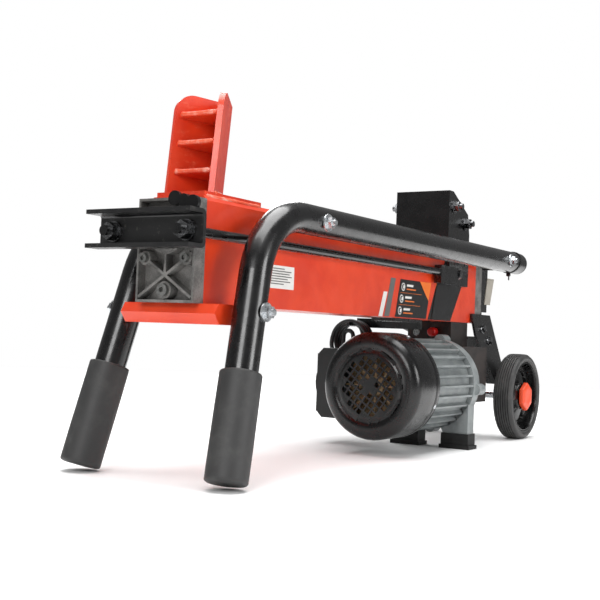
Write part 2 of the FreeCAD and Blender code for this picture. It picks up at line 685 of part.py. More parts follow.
PAD_X0, PAD_X1 = 585.0, 617.0
PAD_MID, PAD_HALF = MOTOR_Y - 2, 43.0         # between the pads, and from there to each pad's middle
PAD_TOP = 24.0


def motor_foot():
    """Cast saddle under the motor that splits into two feet."""
    x0, x1 = PAD_X0 + 4, PAD_X1 - 4
    inner, outer = PAD_HALF - 21, PAD_HALF + 21
    half = [(outer, 92), (outer, PAD_TOP), (inner, PAD_TOP), (inner - 6, 36)]
    outline = [(PAD_MID - y, z) for y, z in half] + [(PAD_MID + y, z) for y, z in half[::-1]]
    return prism_yz(outline, x0, x1).cut(on_axis(x0 - 1, x1 + 1, 72.3))


def foot_pads():
    pads = []
    for side in (LEFT, RIGHT):
        y = PAD_MID + side * PAD_HALF
        upper = box(PAD_X0 + 2, PAD_X1 - 2, y - 23, y + 23, 5, PAD_TOP)
        pads.append(upper.fuse(box(PAD_X0, PAD_X1, y - 25.5, y + 25.5, 0, 6)).removeSplitter())
    return group(pads)


# ---- pump and valve ----------------------------------------------------------------------------------
GEAR_R = 12.0
GEAR_TEETH = 10
GEAR_X0, GEAR_X1 = PUMP_FRONT + 16, PUMP_FRONT + 40
GEAR_LIFT = 2 * GEAR_R + 0.4


VALVE_X0, VALVE_X1 = 690.0, 760.0
VALVE_Y = 40.0
SPOOL_Y, SPOOL_Z = 24.0, 182.0
LEVER_X, LEVER_Y, LEVER_Z = 748.0, 55.5, 172.0      # pivot of the control lever, at its boss's outer face
LEVER_PIN_R = 5.0
LEVER_TOP = 262.0


def pump_body():
    """Gear housing behind the motor, with the valve block above it that bolts under the beam."""
    housing = box(PUMP_FRONT, PUMP_BACK, MOTOR_Y - 32, MOTOR_Y + 32, 68, 160)
    valve = box(VALVE_X0, VALVE_X1, -VALVE_Y, VALVE_Y, 158, BEAM_BOTTOM - 0.2)
    body = housing.fuse(valve)
    room = on_axis(PUMP_FRONT - 1, GEAR_X1 + 1, 16)
    body = body.cut(room.fuse(on_axis(GEAR_X0 - 1, GEAR_X1 + 1, 16, 0, GEAR_LIFT)))
    body = body.cut(on_axis(GEAR_X1, GEAR_X1 + 14, 5 + RUN_GAP, 0, GEAR_LIFT))
    body = body.cut(rod((VALVE_X0 - 1, SPOOL_Y, SPOOL_Z), (VALVE_X1 + 1, SPOOL_Y, SPOOL_Z), 6 + RUN_GAP))
    pin = rod((LEVER_X, VALVE_Y - 4, LEVER_Z), (LEVER_X, LEVER_Y + 3, LEVER_Z), LEVER_PIN_R)
    return body.fuse(pin).removeSplitter()


def gear(lift, phase):
    """A small spur gear: a root cylinder with tapered teeth."""
    root, tip = GEAR_R - 2.2, GEAR_R + 1.6
    pieces = [on_axis(GEAR_X0, GEAR_X1, root, 0, lift)]
    for i in range(GEAR_TEETH):
        tooth = prism_yz([(root - 1, -1.7), (tip, -0.8), (tip, 0.8), (root - 1, 1.7)], GEAR_X0, GEAR_X1)
        tooth.rotate(Vector(0, 0, 0), Vector(1, 0, 0), 360.0 / GEAR_TEETH * i + phase)
        tooth.translate(Vector(0, MOTOR_Y, MOTOR_Z + lift))
        pieces.append(tooth)
    return fuse(pieces)


def pump_drive_gear():
    return gear(0, 90).cut(on_axis(GEAR_X0 - 1, GEAR_X1 + 1, SHAFT_R))


def pump_driven_gear():
    return gear(GEAR_LIFT, 270 + 180.0 / GEAR_TEETH).fuse(on_axis(GEAR_X1, GEAR_X1 + 12, 5, 0, GEAR_LIFT))


def relief_valve_cap():
    """Small red cap over the pressure setting screw."""
    cap = rod((VALVE_X0 - 14, -9.5, 183), (VALVE_X0 - 0.1, -9.5, 183), 7.5)
    return cap.makeFillet(3, [e for e in cap.Edges if e.Closed and e.CenterOfMass.x < VALVE_X0 - 10])


def valve_spool():
    return rod((VALVE_X0, SPOOL_Y, SPOOL_Z), (VALVE_X1 - 1, SPOOL_Y, SPOOL_Z), 6)


def control_lever():
    """Boss on the pivot and a bar that rises clear of the rail."""
    boss = ring((LEVER_X, VALVE_Y + 2, LEVER_Z), (LEVER_X, LEVER_Y, LEVER_Z), 11, LEVER_PIN_R + RUN_GAP)
    points = [(LEVER_X, 50, LEVER_Z + 8), (LEVER_X, 112, 206), (LEVER_X, 114, LEVER_TOP)]
    bar = swept_tube(points, [18], 5)[0]
    bar = bar.cut(rod((LEVER_X, 40, LEVER_Z), (LEVER_X, LEVER_Y + 1, LEVER_Z), 8))
    return boss.fuse(bar).removeSplitter()


def lever_knob():
    """Ball pressed on the end of the lever."""
    ball = Part.makeSphere(14, Vector(LEVER_X, 114, LEVER_TOP + 8))
    return ball.cut(control_lever())


# ---- switch box and mains lead ------------------------------------------------------------------------
BOX_MID_X = (BOX_X0 + BOX_X1) / 2
LID_OUT = BOX_Y1 + 6
BUTTONS = {"start": (112.0, 9.0), "stop": (82.0, 11.0)}      # height and radius
BUTTON_OUT = LID_OUT + 6


def switch_box():
    shell = box(BOX_X0, BOX_X1, BOX_Y0, BOX_Y1, BOX_Z0, BOX_Z1)
    outer = [e for e in shell.Edges if abs(e.tangentAt(0).x) > 0.9 and e.CenterOfMass.y > 50]
    shell = shell.makeChamfer(8, outer)
    room = box(BOX_X0 + 3, BOX_X1 - 3, BOX_Y0 + 3, BOX_Y1 - 9, BOX_Z0 + 3, BOX_Z1 - 3)
    room = room.fuse(box(BOX_X0 + 3, BOX_X1 - 3, BOX_Y1 - 10, BOX_Y1 + 1, BOX_Z0 + 13, BOX_Z1 - 13))
    return shell.cut(room)


def switch_lid():
    lid = box(BOX_X0 + 1, BOX_X1 - 1, BOX_Y1, BOX_Y1 + 3, BOX_Z0 + 9, BOX_Z1 - 9)
    lid = lid.fuse(rod((BOX_MID_X, BOX_Y1 + 3, 96), (BOX_MID_X, LID_OUT, 96), 31))
    for z, radius in BUTTONS.values():
        lid = lid.cut(rod((BOX_MID_X, BOX_Y1 - 1, z), (BOX_MID_X, LID_OUT + 1, z), radius + 0.4))
    return lid.removeSplitter()


def button(name):
    z, radius = BUTTONS[name]
    cap = rod((BOX_MID_X, BOX_Y1 + 1, z), (BOX_MID_X, BUTTON_OUT, z), radius)
    return cap.makeFillet(1.5, [e for e in cap.Edges if e.Closed and e.CenterOfMass.y > LID_OUT])


CORD_R = 3.5
COIL_X, COIL_Y, COIL_Z = 577.0, 84.0, 162.0
COIL_OUT, COIL_IN, COIL_HALF = 38.5, 12.0, 16.0
LEAD = [(562, 46, 66), (581, 46, 66), (597, 47, 74), (606, 50, 89), (606, 56, 106), (600, 66, 120),
        (588, 80, 128)]


def cable_gland():
    """Nut and sleeve where the lead leaves the box."""
    x, y, z = LEAD[0]
    return hexagon((BOX_X1, y, z), (BOX_X1 + 6, y, z), 17).fuse(rod((BOX_X1 + 6, y, z), (x, y, z), 6.5))


def cord_lead():
    """The lead from the gland to the coil, as runs joined by arcs; prints the radii."""
    points = [Vector(*p) for p in LEAD]
    runs = [(b - a).Length for a, b in zip(points, points[1:])]
    bends = []
    for i, (u, v) in enumerate(zip(runs, runs[1:])):
        turn = (points[i + 1] - points[i]).getAngle(points[i + 2] - points[i + 1])
        bends.append(0.45 * min(u, v) / tan(turn / 2))
    solid, length = swept_tube(LEAD, bends, CORD_R)
    print("lead radii", [round(r, 1) for r in bends], "length", round(length, 1),
          "volume ratio", round(solid.Volume / (pi * CORD_R ** 2 * length), 4))
    return solid


def cord_coil():
    """Outer shape of the coiled lead."""
    return ring((COIL_X - COIL_HALF, COIL_Y, COIL_Z), (COIL_X + COIL_HALF, COIL_Y, COIL_Z), COIL_OUT, COIL_IN)


PEG_Z = 189.5


def cord_hook():
    """Flat bar under the beam with an arm, and a peg on it that the coiled lead hangs on."""
    arm_x0, arm_x1 = COIL_X + COIL_HALF + 1, COIL_X + COIL_HALF + 5
    bar = box(500, arm_x1, -30, 10, BEAM_BOTTOM - 5, BEAM_BOTTOM - 0.2)
    arm = box(arm_x0, arm_x1, -30, COIL_Y + 4, PEG_Z - 4, BEAM_BOTTOM - 0.2)
    peg = rod((COIL_X - COIL_HALF - 4, COIL_Y, PEG_Z), (arm_x1, COIL_Y, PEG_Z), 3)
    return fuse([bar, arm, peg])


PLUG_X, PLUG_Y = COIL_X - 7, COIL_Y + 30
PLUG_R, PIN_R = 16.0, 2.4
PLUG_TOP = 139.0


def cord_plug():
    """Two-pin plug hanging at the end of the lead, with its strain relief on top."""
    shoulder, low = PLUG_TOP - 18, PLUG_TOP - 48
    body = rod((PLUG_X, PLUG_Y, low), (PLUG_X, PLUG_Y, shoulder), PLUG_R)
    neck = Part.makeCone(11, 5, PLUG_TOP - shoulder, Vector(PLUG_X, PLUG_Y, shoulder))
    pins = [rod((PLUG_X, PLUG_Y + dy, low - 18), (PLUG_X, PLUG_Y + dy, low), PIN_R) for dy in (-9.5, 9.5)]
    return fuse([body, neck] + pins)


# ---- save every piece ----------------------------------------------------------------------------------
PIECES = {
    "beam_housing": beam_housing, "front_end_cap": front_end_cap, "rear_end_cap": rear_end_cap,
    "front_cap_screws": lambda: group(front_cap_screws().Solids + [oil_plug()]),
    "bleed_screw": bleed_screw, "rod_gland": rod_gland, "cylinder_tube": cylinder_tube,
    "crosspiece": crosspiece, "tie_rods": tie_rods, "tie_rod_fasteners": tie_rod_fasteners,
    "piston_rod": piston_rod, "piston": piston, "piston_seals": piston_seals,
    "pusher_face": pusher_face, "pusher_cheeks": pusher_cheeks, "pusher_slide_pad": pusher_slide_pad,
    "pusher_fasteners": pusher_fasteners, "wedge": wedge, "wedge_base": wedge_base,
    "side_tube_left": lambda: side_tube(LEFT), "side_tube_right": lambda: side_tube(RIGHT),
    "foot_sleeves": lambda: both_sides(foot_sleeve), "tube_end_plugs": lambda: both_sides(tube_end_plug),
    "cross_bracket": cross_bracket, "tube_fasteners": tube_fasteners, "rear_bracket": rear_bracket,
    "wheel_bracket": wheel_bracket, "axle": axle,
    "tyre_left": lambda: tyre(LEFT), "tyre_right": lambda: tyre(RIGHT),
    "wheel_hub_left": lambda: wheel_hub(LEFT), "wheel_hub_right": lambda: wheel_hub(RIGHT),
    "hub_cap_left": lambda: hub_cap(LEFT), "hub_cap_right": lambda: hub_cap(RIGHT),
    "fan_cover": fan_cover, "motor_fan": motor_fan, "motor_rotor": motor_rotor,
    "motor_stator": motor_stator, "motor_housing": motor_housing, "motor_bearings": motor_bearings,
    "motor_front_shield": motor_front_shield, "motor_rear_shield": motor_rear_shield,
    "motor_foot": motor_foot, "foot_pads": foot_pads, "pump_body": pump_body,
    "pump_drive_gear": pump_drive_gear, "pump_driven_gear": pump_driven_gear,
    "relief_valve_cap": relief_valve_cap, "valve_spool": valve_spool,
    "control_lever": control_lever, "lever_knob": lever_knob, "switch_box": switch_box,
    "switch_lid": switch_lid, "start_button": lambda: button("start"), "stop_button": lambda: button("stop"),
    "cable_gland": cable_gland, "cord_hook": cord_hook, "cord_lead": cord_lead,
    "cord_coil": cord_coil, "cord_plug": cord_plug,
}

for piece_name, make in PIECES.items():
    save(piece_name, make())
print(len(PIECES), "pieces; moved by", SHIFT_X)
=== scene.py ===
# %% [markdown]
# # Log splitter
#
# The frame comes from CAD: every part that has a size or a joint is already in place, in metres. What
# this lesson adds is what CAD leaves out, which is the finish of each part and the soft or fine pieces.
# Most positions are read from the boxes of the CAD parts; the others are sizes in millimetres.

# %% Load the frame
import math
import bpy
import numpy as np
from mathutils import Matrix, Vector


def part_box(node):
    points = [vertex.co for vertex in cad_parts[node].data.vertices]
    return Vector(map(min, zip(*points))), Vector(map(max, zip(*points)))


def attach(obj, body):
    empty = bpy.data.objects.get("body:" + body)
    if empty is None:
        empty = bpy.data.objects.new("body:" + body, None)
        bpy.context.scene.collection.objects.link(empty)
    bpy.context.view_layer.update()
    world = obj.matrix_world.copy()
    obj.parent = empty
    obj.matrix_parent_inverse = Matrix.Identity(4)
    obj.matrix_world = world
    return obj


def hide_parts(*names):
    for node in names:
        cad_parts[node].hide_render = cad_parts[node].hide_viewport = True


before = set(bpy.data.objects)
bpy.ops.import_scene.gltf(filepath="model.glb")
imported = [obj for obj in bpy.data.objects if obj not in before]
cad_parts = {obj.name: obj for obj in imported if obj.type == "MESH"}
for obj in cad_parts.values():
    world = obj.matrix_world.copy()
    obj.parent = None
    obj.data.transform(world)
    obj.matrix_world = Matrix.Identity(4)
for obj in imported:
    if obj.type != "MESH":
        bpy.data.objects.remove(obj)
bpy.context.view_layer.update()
MM = 0.001

# %% [markdown]
# All sizes below are in millimetres, measured the way a fitter would: along the machine from the front
# end of the beam, sideways from its middle, and up from the floor. One function turns such a place into
# the metres of the shared frame, so a drawing size can be typed as it is.

# %% Measure from the front of the beam
BEAM_LOW, BEAM_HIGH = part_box("beam_housing")


def spot(x, y, z):
    """Place in the shared frame of x mm behind the beam's front end, y mm to the left, z mm up."""
    return Vector((BEAM_LOW.x + x * MM, y * MM, z * MM))


def spots(points):
    """The same for a whole array of points, millimetres in the last axis."""
    points = np.asarray(points, dtype=float)
    return points * MM + np.array([BEAM_LOW.x, 0.0, 0.0])


def box_mm(node):
    """Low and high corner of a CAD part in fitter's millimetres."""
    low, high = (np.array(c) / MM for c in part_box(node))
    shift = np.array([BEAM_LOW.x / MM, 0.0, 0.0])
    return low - shift, high - shift


print("beam runs", *([round(v, 1) for v in corner] for corner in box_mm("beam_housing")))

# %% [markdown]
# ## Camera
#
# The camera stands low, a little above the wheels' height, and looks slightly upwards from the front
# right, so the machine looks tall. It is turned about its own axis by two degrees, as a camera in the
# hand often is. The place and the three angles say it all. The lens is 63 mm, and the short distance is
# what makes the perspective strong.

# %% Camera
AZIMUTH, ELEVATION, ROLL = (math.radians(a) for a in (-57.79, -1.80, 2.21))
CAMERA_PLACE = (-949.5, -770.0, 172.2)
SENSOR, FOCAL = 36.0, 63.1
back = Vector((math.sin(AZIMUTH) * math.cos(ELEVATION),
               -math.cos(AZIMUTH) * math.cos(ELEVATION),
               math.sin(ELEVATION)))
level_right = (-back).cross(Vector((0, 0, 1))).normalized()
level_up = level_right.cross(-back)
right = math.cos(ROLL) * level_right + math.sin(ROLL) * level_up
up = math.cos(ROLL) * level_up - math.sin(ROLL) * level_right
lens = bpy.data.cameras.new("camera")
lens.sensor_width, lens.lens = SENSOR, FOCAL
camera = bpy.data.objects.new("camera", lens)
turn = Matrix((right, up, back)).transposed().to_4x4()
camera.matrix_world = Matrix.Translation(spot(*CAMERA_PLACE)) @ turn
bpy.context.scene.collection.objects.link(camera)
bpy.context.scene.camera = camera
print("camera at", [round(v, 3) for v in camera.matrix_world.translation])

# %% [markdown]
# ## Tools for materials
#
# A colour is given as the hex value seen on a screen, but a shader calculates with light, so one function
# turns it to linear. A node tree is a list of small machines with wires between them: one function
# adds a node, sets its values and plugs in its wires, which keeps each material short enough to read.

# %% Colour and node helpers
def linear(code):
    """Linear colour of an sRGB hex value, opaque: each channel through the sRGB curve, backwards."""
    values = [int(code[i:i + 2], 16) / 255 for i in (1, 3, 5)]
    return tuple(v / 12.92 if v <= 0.04045 else ((v + 0.055) / 1.055) ** 2.4 for v in values) + (1.0,)


def add(tree, kind, settings=None, links=None):
    """Add a node; settings are its inputs or properties, links are input names with the sockets they take."""
    node = tree.nodes.new(kind)
    for key, value in (settings or {}).items():
        if isinstance(key, int) or key in node.inputs:
            node.inputs[key].default_value = value
        else:
            setattr(node, key, value)
    for key, source in (links or {}).items():
        tree.links.new(source, node.inputs[key])
    return node


def begin(name):
    """A new material with its shader and its object coordinates."""
    material = bpy.data.materials.new(name)
    material.use_nodes = True
    tree = material.node_tree
    tree.nodes.clear()
    shader = add(tree, "ShaderNodeBsdfPrincipled")
    add(tree, "ShaderNodeOutputMaterial", links={"Surface": shader.outputs["BSDF"]})
    where = add(tree, "ShaderNodeTexCoord").outputs["Object"]
    return material, tree, shader, where


def noise(tree, where, size, detail=3.0, rough=0.55):
    """Cloudy pattern from 0 to 1 whose blotches are about size mm wide."""
    return add(tree, "ShaderNodeTexNoise", {"Scale": 1 / (size * MM), "Detail": detail, "Roughness": rough},
               {"Vector": where}).outputs["Fac"]


def steps(tree, value, low, high, out_low=0.0, out_high=1.0):
    """Stretch the part of value between low and high to out_low ... out_high."""
    settings = {"From Min": low, "From Max": high, "To Min": out_low, "To Max": out_high,
                "interpolation_type": "SMOOTHSTEP"}
    return add(tree, "ShaderNodeMapRange", settings, {"Value": value}).outputs["Result"]


def blend(tree, share, first, second):
    """Mix two colours: hex codes or sockets."""
    node = add(tree, "ShaderNodeMix", {"data_type": "RGBA"})
    tree.links.new(share, node.inputs["Factor"])
    for socket, colour in ((node.inputs[6], first), (node.inputs[7], second)):
        if isinstance(colour, str):
            socket.default_value = linear(colour)
        else:
            tree.links.new(colour, socket)
    return node.outputs[2]


def bump(tree, shader, height, depth):
    """Raise the surface by height x depth mm for the light."""
    node = add(tree, "ShaderNodeBump", {"Strength": 1.0, "Distance": depth * MM}, {"Height": height})
    tree.links.new(node.outputs["Normal"], shader.inputs["Normal"])


print("one shade turned to linear:", [round(v, 3) for v in linear("#808080")])

# %% [markdown]
# ## Tools for shapes
#
# A new piece is a surface worked out with numpy: a grid of points in rows and columns. One function turns
# the grid into faces, closes it round or at its ends, and turns all faces outwards by the sign of the
# volume they enclose. Two common grids get a function each: a profile spun round an axis, and a profile
# carried along a path.

# %% Grids to meshes
def shell(points, along=False):
    """Faces over a grid; columns close round, rows close too or get one end face each; faces look outwards."""
    rows, cols = points.shape[:2]
    number = np.arange(rows * cols).reshape(rows, cols)
    near = number if along else number[:-1]
    far = np.roll(number, -1, 0) if along else number[1:]
    quads = np.stack([near, np.roll(near, -1, 1), np.roll(far, -1, 1), far], -1).reshape(-1, 4)
    flat = points.reshape(-1, 3)
    middle = flat.mean(0)
    p, q, r, s = (flat[quads[:, k]] - middle for k in range(4))
    volume = np.einsum("ij,ij->", p, np.cross(q, r)) + np.einsum("ij,ij->", p, np.cross(r, s))
    groups = [quads] if along else [quads, np.stack([number[0, ::-1], number[-1]])]
    return flat, [group[:, ::-1] for group in groups] if volume < 0 else groups


def spin(profile, start, axis, count, swell=None):
    """Surface of revolution: (distance along the axis, radius) pairs turned round it; swell scales radii."""
    axis = np.asarray(axis, float) / np.linalg.norm(axis)
    side = np.cross(axis, [0.0, 0.0, 1.0] if abs(axis[2]) < 0.9 else [1.0, 0.0, 0.0])
    side /= np.linalg.norm(side)
    other = np.cross(axis, side)
    profile = np.asarray(profile, float)
    angle = np.linspace(0, 2 * np.pi, count, endpoint=False)
    radius = profile[:, 1:2] * (np.ones((1, count)) if swell is None else swell(profile, angle))
    return (np.asarray(start, float) + profile[:, :1, None] * axis
            + (radius * np.cos(angle))[..., None] * side + (radius * np.sin(angle))[..., None] * other)


def carry(path, section, size):
    """A closed section carried along a path with its second axis kept upright; size scales it at each point."""
    path, section = np.asarray(path, float), np.asarray(section, float)
    ahead = np.gradient(path, axis=0)
    ahead /= np.linalg.norm(ahead, axis=1, keepdims=True)
    side = np.cross(ahead, np.array([0.0, 0.0, 1.0]))
    side /= np.linalg.norm(side, axis=1, keepdims=True)
    rise = np.cross(side, ahead)
    offset = section[None, :, :1] * side[:, None] + section[None, :, 1:] * rise[:, None]
    return path[:, None] + size[:, None, None] * offset


def circle(radius, count):
    """Points round a circle, as a section."""
    angle = np.linspace(0, 2 * np.pi, count, endpoint=False)
    return np.stack([radius * np.cos(angle), radius * np.sin(angle)], -1)


def make(name, shells, material, body="frame", replaces=(), crease=35.0):
    """Put shells (points in mm, groups of faces) into one object at the origin and fasten it to a body."""
    points = np.concatenate([flat for flat, _ in shells])
    faces, start = [], 0
    for flat, groups in shells:
        for group in groups:
            faces += (group + start).tolist()
        start += len(flat)
    mesh = bpy.data.meshes.new(name)
    mesh.from_pydata(spots(points).tolist(), [], faces)
    mesh.polygons.foreach_set("use_smooth", [True] * len(mesh.polygons))
    mesh.set_sharp_from_angle(angle=math.radians(crease))
    mesh.materials.append(material)
    mesh.validate()
    piece = bpy.data.objects.new(name, mesh)
    bpy.context.scene.collection.objects.link(piece)
    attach(piece, body)
    if replaces:
        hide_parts(*replaces)
    print(name, len(mesh.polygons), "faces on", body)
    return piece


# %% [markdown]
# ## Mains lead
#
# A mains lead has a round jacket of soft PVC, seven millimetres thick, matt and a little greasy, with a
# slight unevenness from the extruder. It is a shade paler than the plastic parts beside it. The pattern is
# taken from the object's own coordinates, so it needs no unwrapping.

# %% PVC jacket
cable_pvc, tree, shader, where = begin("extruded_pvc")
tone = noise(tree, where, 14)
tree.links.new(blend(tree, tone, "#101011", "#1d1d1e"), shader.inputs["Base Color"])
tree.links.new(steps(tree, noise(tree, where, 5), 0.3, 0.7, 0.38, 0.55), shader.inputs["Roughness"])
bump(tree, shader, noise(tree, where, 1.2), 0.08)          # extruder waviness of about 1 mm
print("material", cable_pvc.name)

# %% [markdown]
# The lead leaves the switch box, bends up behind the motor and is hung on a peg as a coil. Turns of a hung
# cord are never equal, so each ring of control points gets its own small change of radius. Within the
# coil a stretch is folded down, up and down again, then a last ring climbs the other way round and ends in
# the plug. All of it is one spline, because one cord is one line, and a NURBS curve of order three passes
# smoothly inside its control points.

# %% Route of the lead
LEAD = [(562, 46, 66), (581, 46, 66), (597, 47, 74), (606, 50, 89), (606, 56, 106), (600, 66, 120),
        (588, 80, 128)]
COIL_Y, COIL_Z = 84.0, 162.0
COIL_R, FRONT_R = 32.3, 34.3
CORD = 7.0


def ring_points(x_start, x_end, turn_start, turn_end, radius, wobble=0.0, middle=(COIL_Y, COIL_Z)):
    """Points every 30 degrees on a ring about middle; the radius and x change a little as it turns."""
    count = int(round(abs(turn_end - turn_start) / 30)) + 1
    share = np.linspace(0, 1, count)
    turn = np.radians(turn_start + (turn_end - turn_start) * share)
    reach = radius + wobble * np.sin(1.7 * turn + x_start)
    x = x_start + (x_end - x_start) * share
    return np.stack([x, middle[0] + reach * np.cos(turn), middle[1] + reach * np.sin(turn)], -1)


back_rings = ring_points(589.3, 572.2, -60, 810, COIL_R, 0.7)
downward = [(571.6, 74, 191.5), (571.2, 66.5, 184), (570.8, 62.5, 173), (570.3, 61.5, 161)]
low_fold = ring_points(569.8, 569.0, 180, 360, 9.3, middle=(71, 148))
high_fold = ring_points(568.2, 567.4, 180, 0, 8.8, middle=(88.5, 171))
last_bend = ring_points(566.6, 565.6, 0, -90, 15, middle=(82.5, 144))
folds = np.concatenate([downward, low_fold, high_fold, last_bend])
front_ring = ring_points(565.3, 564.6, 250, 5, FRONT_R, 0.5)
tail = [(565.5, 119, 152), (569, 115.5, 143), (570, 114, 137)]
route = np.concatenate([LEAD, back_rings, folds, front_ring, tail])
curve = bpy.data.curves.new("mains_lead", "CURVE")
curve.dimensions = "3D"
curve.bevel_depth = CORD / 2 * MM
curve.bevel_resolution = 5
curve.resolution_u = 6
curve.use_fill_caps = True
line = curve.splines.new("NURBS")
line.points.add(len(route) - 1)
line.points.foreach_set("co", np.c_[spots(route), np.ones(len(route))].ravel())
line.order_u = 3
line.use_endpoint_u = True
curve.materials.append(cable_pvc)
lead = bpy.data.objects.new("mains_lead", curve)
bpy.context.scene.collection.objects.link(lead)
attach(lead, "frame")
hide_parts("cord_lead", "cord_coil")
thin = curve.copy()
thin.bevel_depth = 0.0
probe = bpy.data.objects.new("probe", thin)
centreline = bpy.data.meshes.new_from_object(probe)
bpy.data.objects.remove(probe)
bpy.data.curves.remove(thin)
bpy.data.meshes.remove(centreline)

# %% [markdown]
# A moulded plug is soft PVC shot round two pins, which share its black finish here. The body is round, and
# the neck is a row of rings that lets the cord bend without a kink. Both are one profile spun round an
# axis, and a waviness in the profile makes the rings. The same ribbed boot, only shorter, guards the lead
# where it leaves the switch box.

# %% Plug and strain relief
PIN_SIDE = 9.5
plug_low, plug_high = box_mm("cord_plug")
plug_x, plug_y = (plug_low[:2] + plug_high[:2]) / 2
plug_top, pin_low = plug_high[2], plug_low[2]
DOWN = (0, 0, -1)
share = np.linspace(0, 1, 60)
neck = np.stack([24 * share, 4.4 + 3.6 * share + 0.7 * np.sin(share * 2 * np.pi * 6)], -1)
body = [(26, 11.5), (29, 14.6), (33, 15.6), (44, 15.9), (46.5, 15.2), (47.6, 14.0), (47.9, 10.0)]
pin = [(17.8, 0.6), (17.4, 2.2), (16.6, 2.4), (-1, 2.4)]
plug_shells = [shell(spin(np.concatenate([neck, body]), (plug_x, plug_y, plug_top), DOWN, 48))]
for side in (-1, 1):
    plug_shells.append(shell(spin(pin, (plug_x, plug_y + side * PIN_SIDE, pin_low + 18), DOWN, 24)))
plug = make("mains_plug", plug_shells, cable_pvc, replaces=["cord_plug"])
boot_profile = np.stack([22 * share, 5.9 - 2.1 * share + 0.5 * np.sin(share * 2 * np.pi * 5)], -1)
gland_end = np.array([box_mm("cable_gland")[1][0], *LEAD[0][1:]])
boot = make("lead_boot", [shell(spin(boot_profile, gland_end - (1, 0, 0), (1, 0, 0), 40))], cable_pvc)

# %% [markdown]
# ## Paint
#
# Powder paint on steel is sprayed dry and melted in an oven. It comes out glossy with a faint orange
# peel of about a millimetre and a half. One function makes the red and the black coat, because they
# differ only in colour, gloss and depth of peel. Two larger noises, a few centimetres wide, vary the tone
# and the gloss and stop large faces from looking like one flat fill.

# %% Powder coat
def powder_coat(name, deep, bright, gloss, peel=0.05):
    """Oven-cured paint between two close tones, with orange peel 1.5 mm wide and peel mm deep."""
    material, tree, shader, where = begin(name)
    tone = noise(tree, where, 70, 4)
    tree.links.new(blend(tree, steps(tree, tone, 0.35, 0.65), deep, bright), shader.inputs["Base Color"])
    smear = noise(tree, where, 25, 5)
    tree.links.new(steps(tree, smear, 0.3, 0.7, gloss, gloss + 0.14), shader.inputs["Roughness"])
    shader.inputs["Coat Weight"].default_value = 0.35
    shader.inputs["Coat Roughness"].default_value = 0.12
    bump(tree, shader, noise(tree, where, 1.5, 1), peel)
    return material, tree, shader, where


red_paint, *_ = powder_coat("red_powder_coat", "#d23412", "#df4119", 0.30)
black_paint, *_ = powder_coat("black_powder_coat", "#040405", "#0a0a0b", 0.20, 0.008)
print("painted finishes", red_paint.name, black_paint.name)

# %% [markdown]
# The wedge and its base plate are painted the same red, but logs rub them, so their coat is duller, and it
# is thin and pale in soft smears that follow the log's travel along the machine. The smears are a
# noise stretched in the direction of travel, and they only show where a second, larger noise lets them.
# The weld beads are rubbed most, so the same function makes them a paler version. This paler red, with its
# near-white smears, is partly real rub and partly a painted highlight: it stands in for the bright rounded front
# edge of each gusset.

# %% Rubbed red paint
def rubbed_coat(name, deep, bright, bare, share):
    """Powder coat with pale smears; share is the noise level above which they start."""
    material, tree, shader, where = powder_coat(name, deep, bright, 0.36)
    stretched = add(tree, "ShaderNodeMapping", {"Scale": (0.25, 1.0, 1.0)}, {"Vector": where}).outputs["Vector"]
    smear = steps(tree, noise(tree, stretched, 7, 6, 0.7), share, share + 0.25)
    patch = steps(tree, noise(tree, where, 26, 2), 0.40, 0.62)
    wear = add(tree, "ShaderNodeMath", {"operation": "MULTIPLY"}, {0: smear, 1: patch}).outputs[0]
    under = shader.inputs["Base Color"].links[0].from_socket
    tree.links.new(blend(tree, wear, under, bare), shader.inputs["Base Color"])
    return material


rubbed_red = rubbed_coat("rubbed_red_powder_coat", "#cf3011", "#dd4019", "#e36a4c", 0.50)
# weld paint brighter and paler than the wedge's red: real rub plus a painted highlight on the gussets' front
# edges
weld_red_rub_and_highlight = rubbed_coat("weld_paint_rubbed_and_painted_highlight", "#dc4a26", "#e8603c", "#f0c4b4", 0.42)
worn_black = rubbed_coat("chipped_black_powder_coat", "#040405", "#0b0b0c", "#6e6c66", 0.56)
print("worn finishes", rubbed_red.name, weld_red_rub_and_highlight.name, worn_black.name)

# %% [markdown]
# ## Bare and cast metal
#
# Fasteners are zinc plated: a bluish silver with crystals a millimetre or two across, which catch the
# light one by one. Ground steel is brighter with a finer grain, and dark steel keeps an oily film. A
# metal's colour is its reflection, so the shader is fully metallic.

# %% Steels
def steel(name, dull, bright, low, high, crystal=1.6):
    """Metal whose crystals, crystal mm wide, differ a little in tone and polish."""
    material, tree, shader, where = begin(name)
    grain = add(tree, "ShaderNodeTexVoronoi", {"Scale": 1 / (crystal * MM)}, {"Vector": where}).outputs["Color"]
    cloud = noise(tree, where, 6, 5)
    mixed = add(tree, "ShaderNodeMath", {"operation": "MULTIPLY_ADD", 1: 0.45, 2: 0.25}, {0: grain}).outputs[0]
    share = add(tree, "ShaderNodeMath", {"operation": "MULTIPLY_ADD", 1: 0.3}, {0: cloud, 2: mixed}).outputs[0]
    tree.links.new(blend(tree, share, dull, bright), shader.inputs["Base Color"])
    tree.links.new(steps(tree, cloud, 0.3, 0.7, low, high), shader.inputs["Roughness"])
    shader.inputs["Metallic"].default_value = 1.0
    bump(tree, shader, noise(tree, where, 0.8, 2), 0.02)
    return material


zinc = steel("zinc_plated_steel", "#8f9498", "#e3e6e8", 0.22, 0.40)
ground_steel = steel("ground_steel", "#9c9c9b", "#d5d6d6", 0.12, 0.24, 0.9)
dark_steel = steel("oiled_dark_steel", "#2c2d2f", "#55575a", 0.30, 0.48)
black_oxide = steel("black_oxide_fasteners", "#2a2a2b", "#9a9b9d", 0.16, 0.34, 3.0)
dull_zinc = steel("weathered_zinc", "#5c5d5c", "#9b9b98", 0.34, 0.50)
print("metals", [metal.name for metal in (zinc, ground_steel, dark_steel, black_oxide, dull_zinc)])

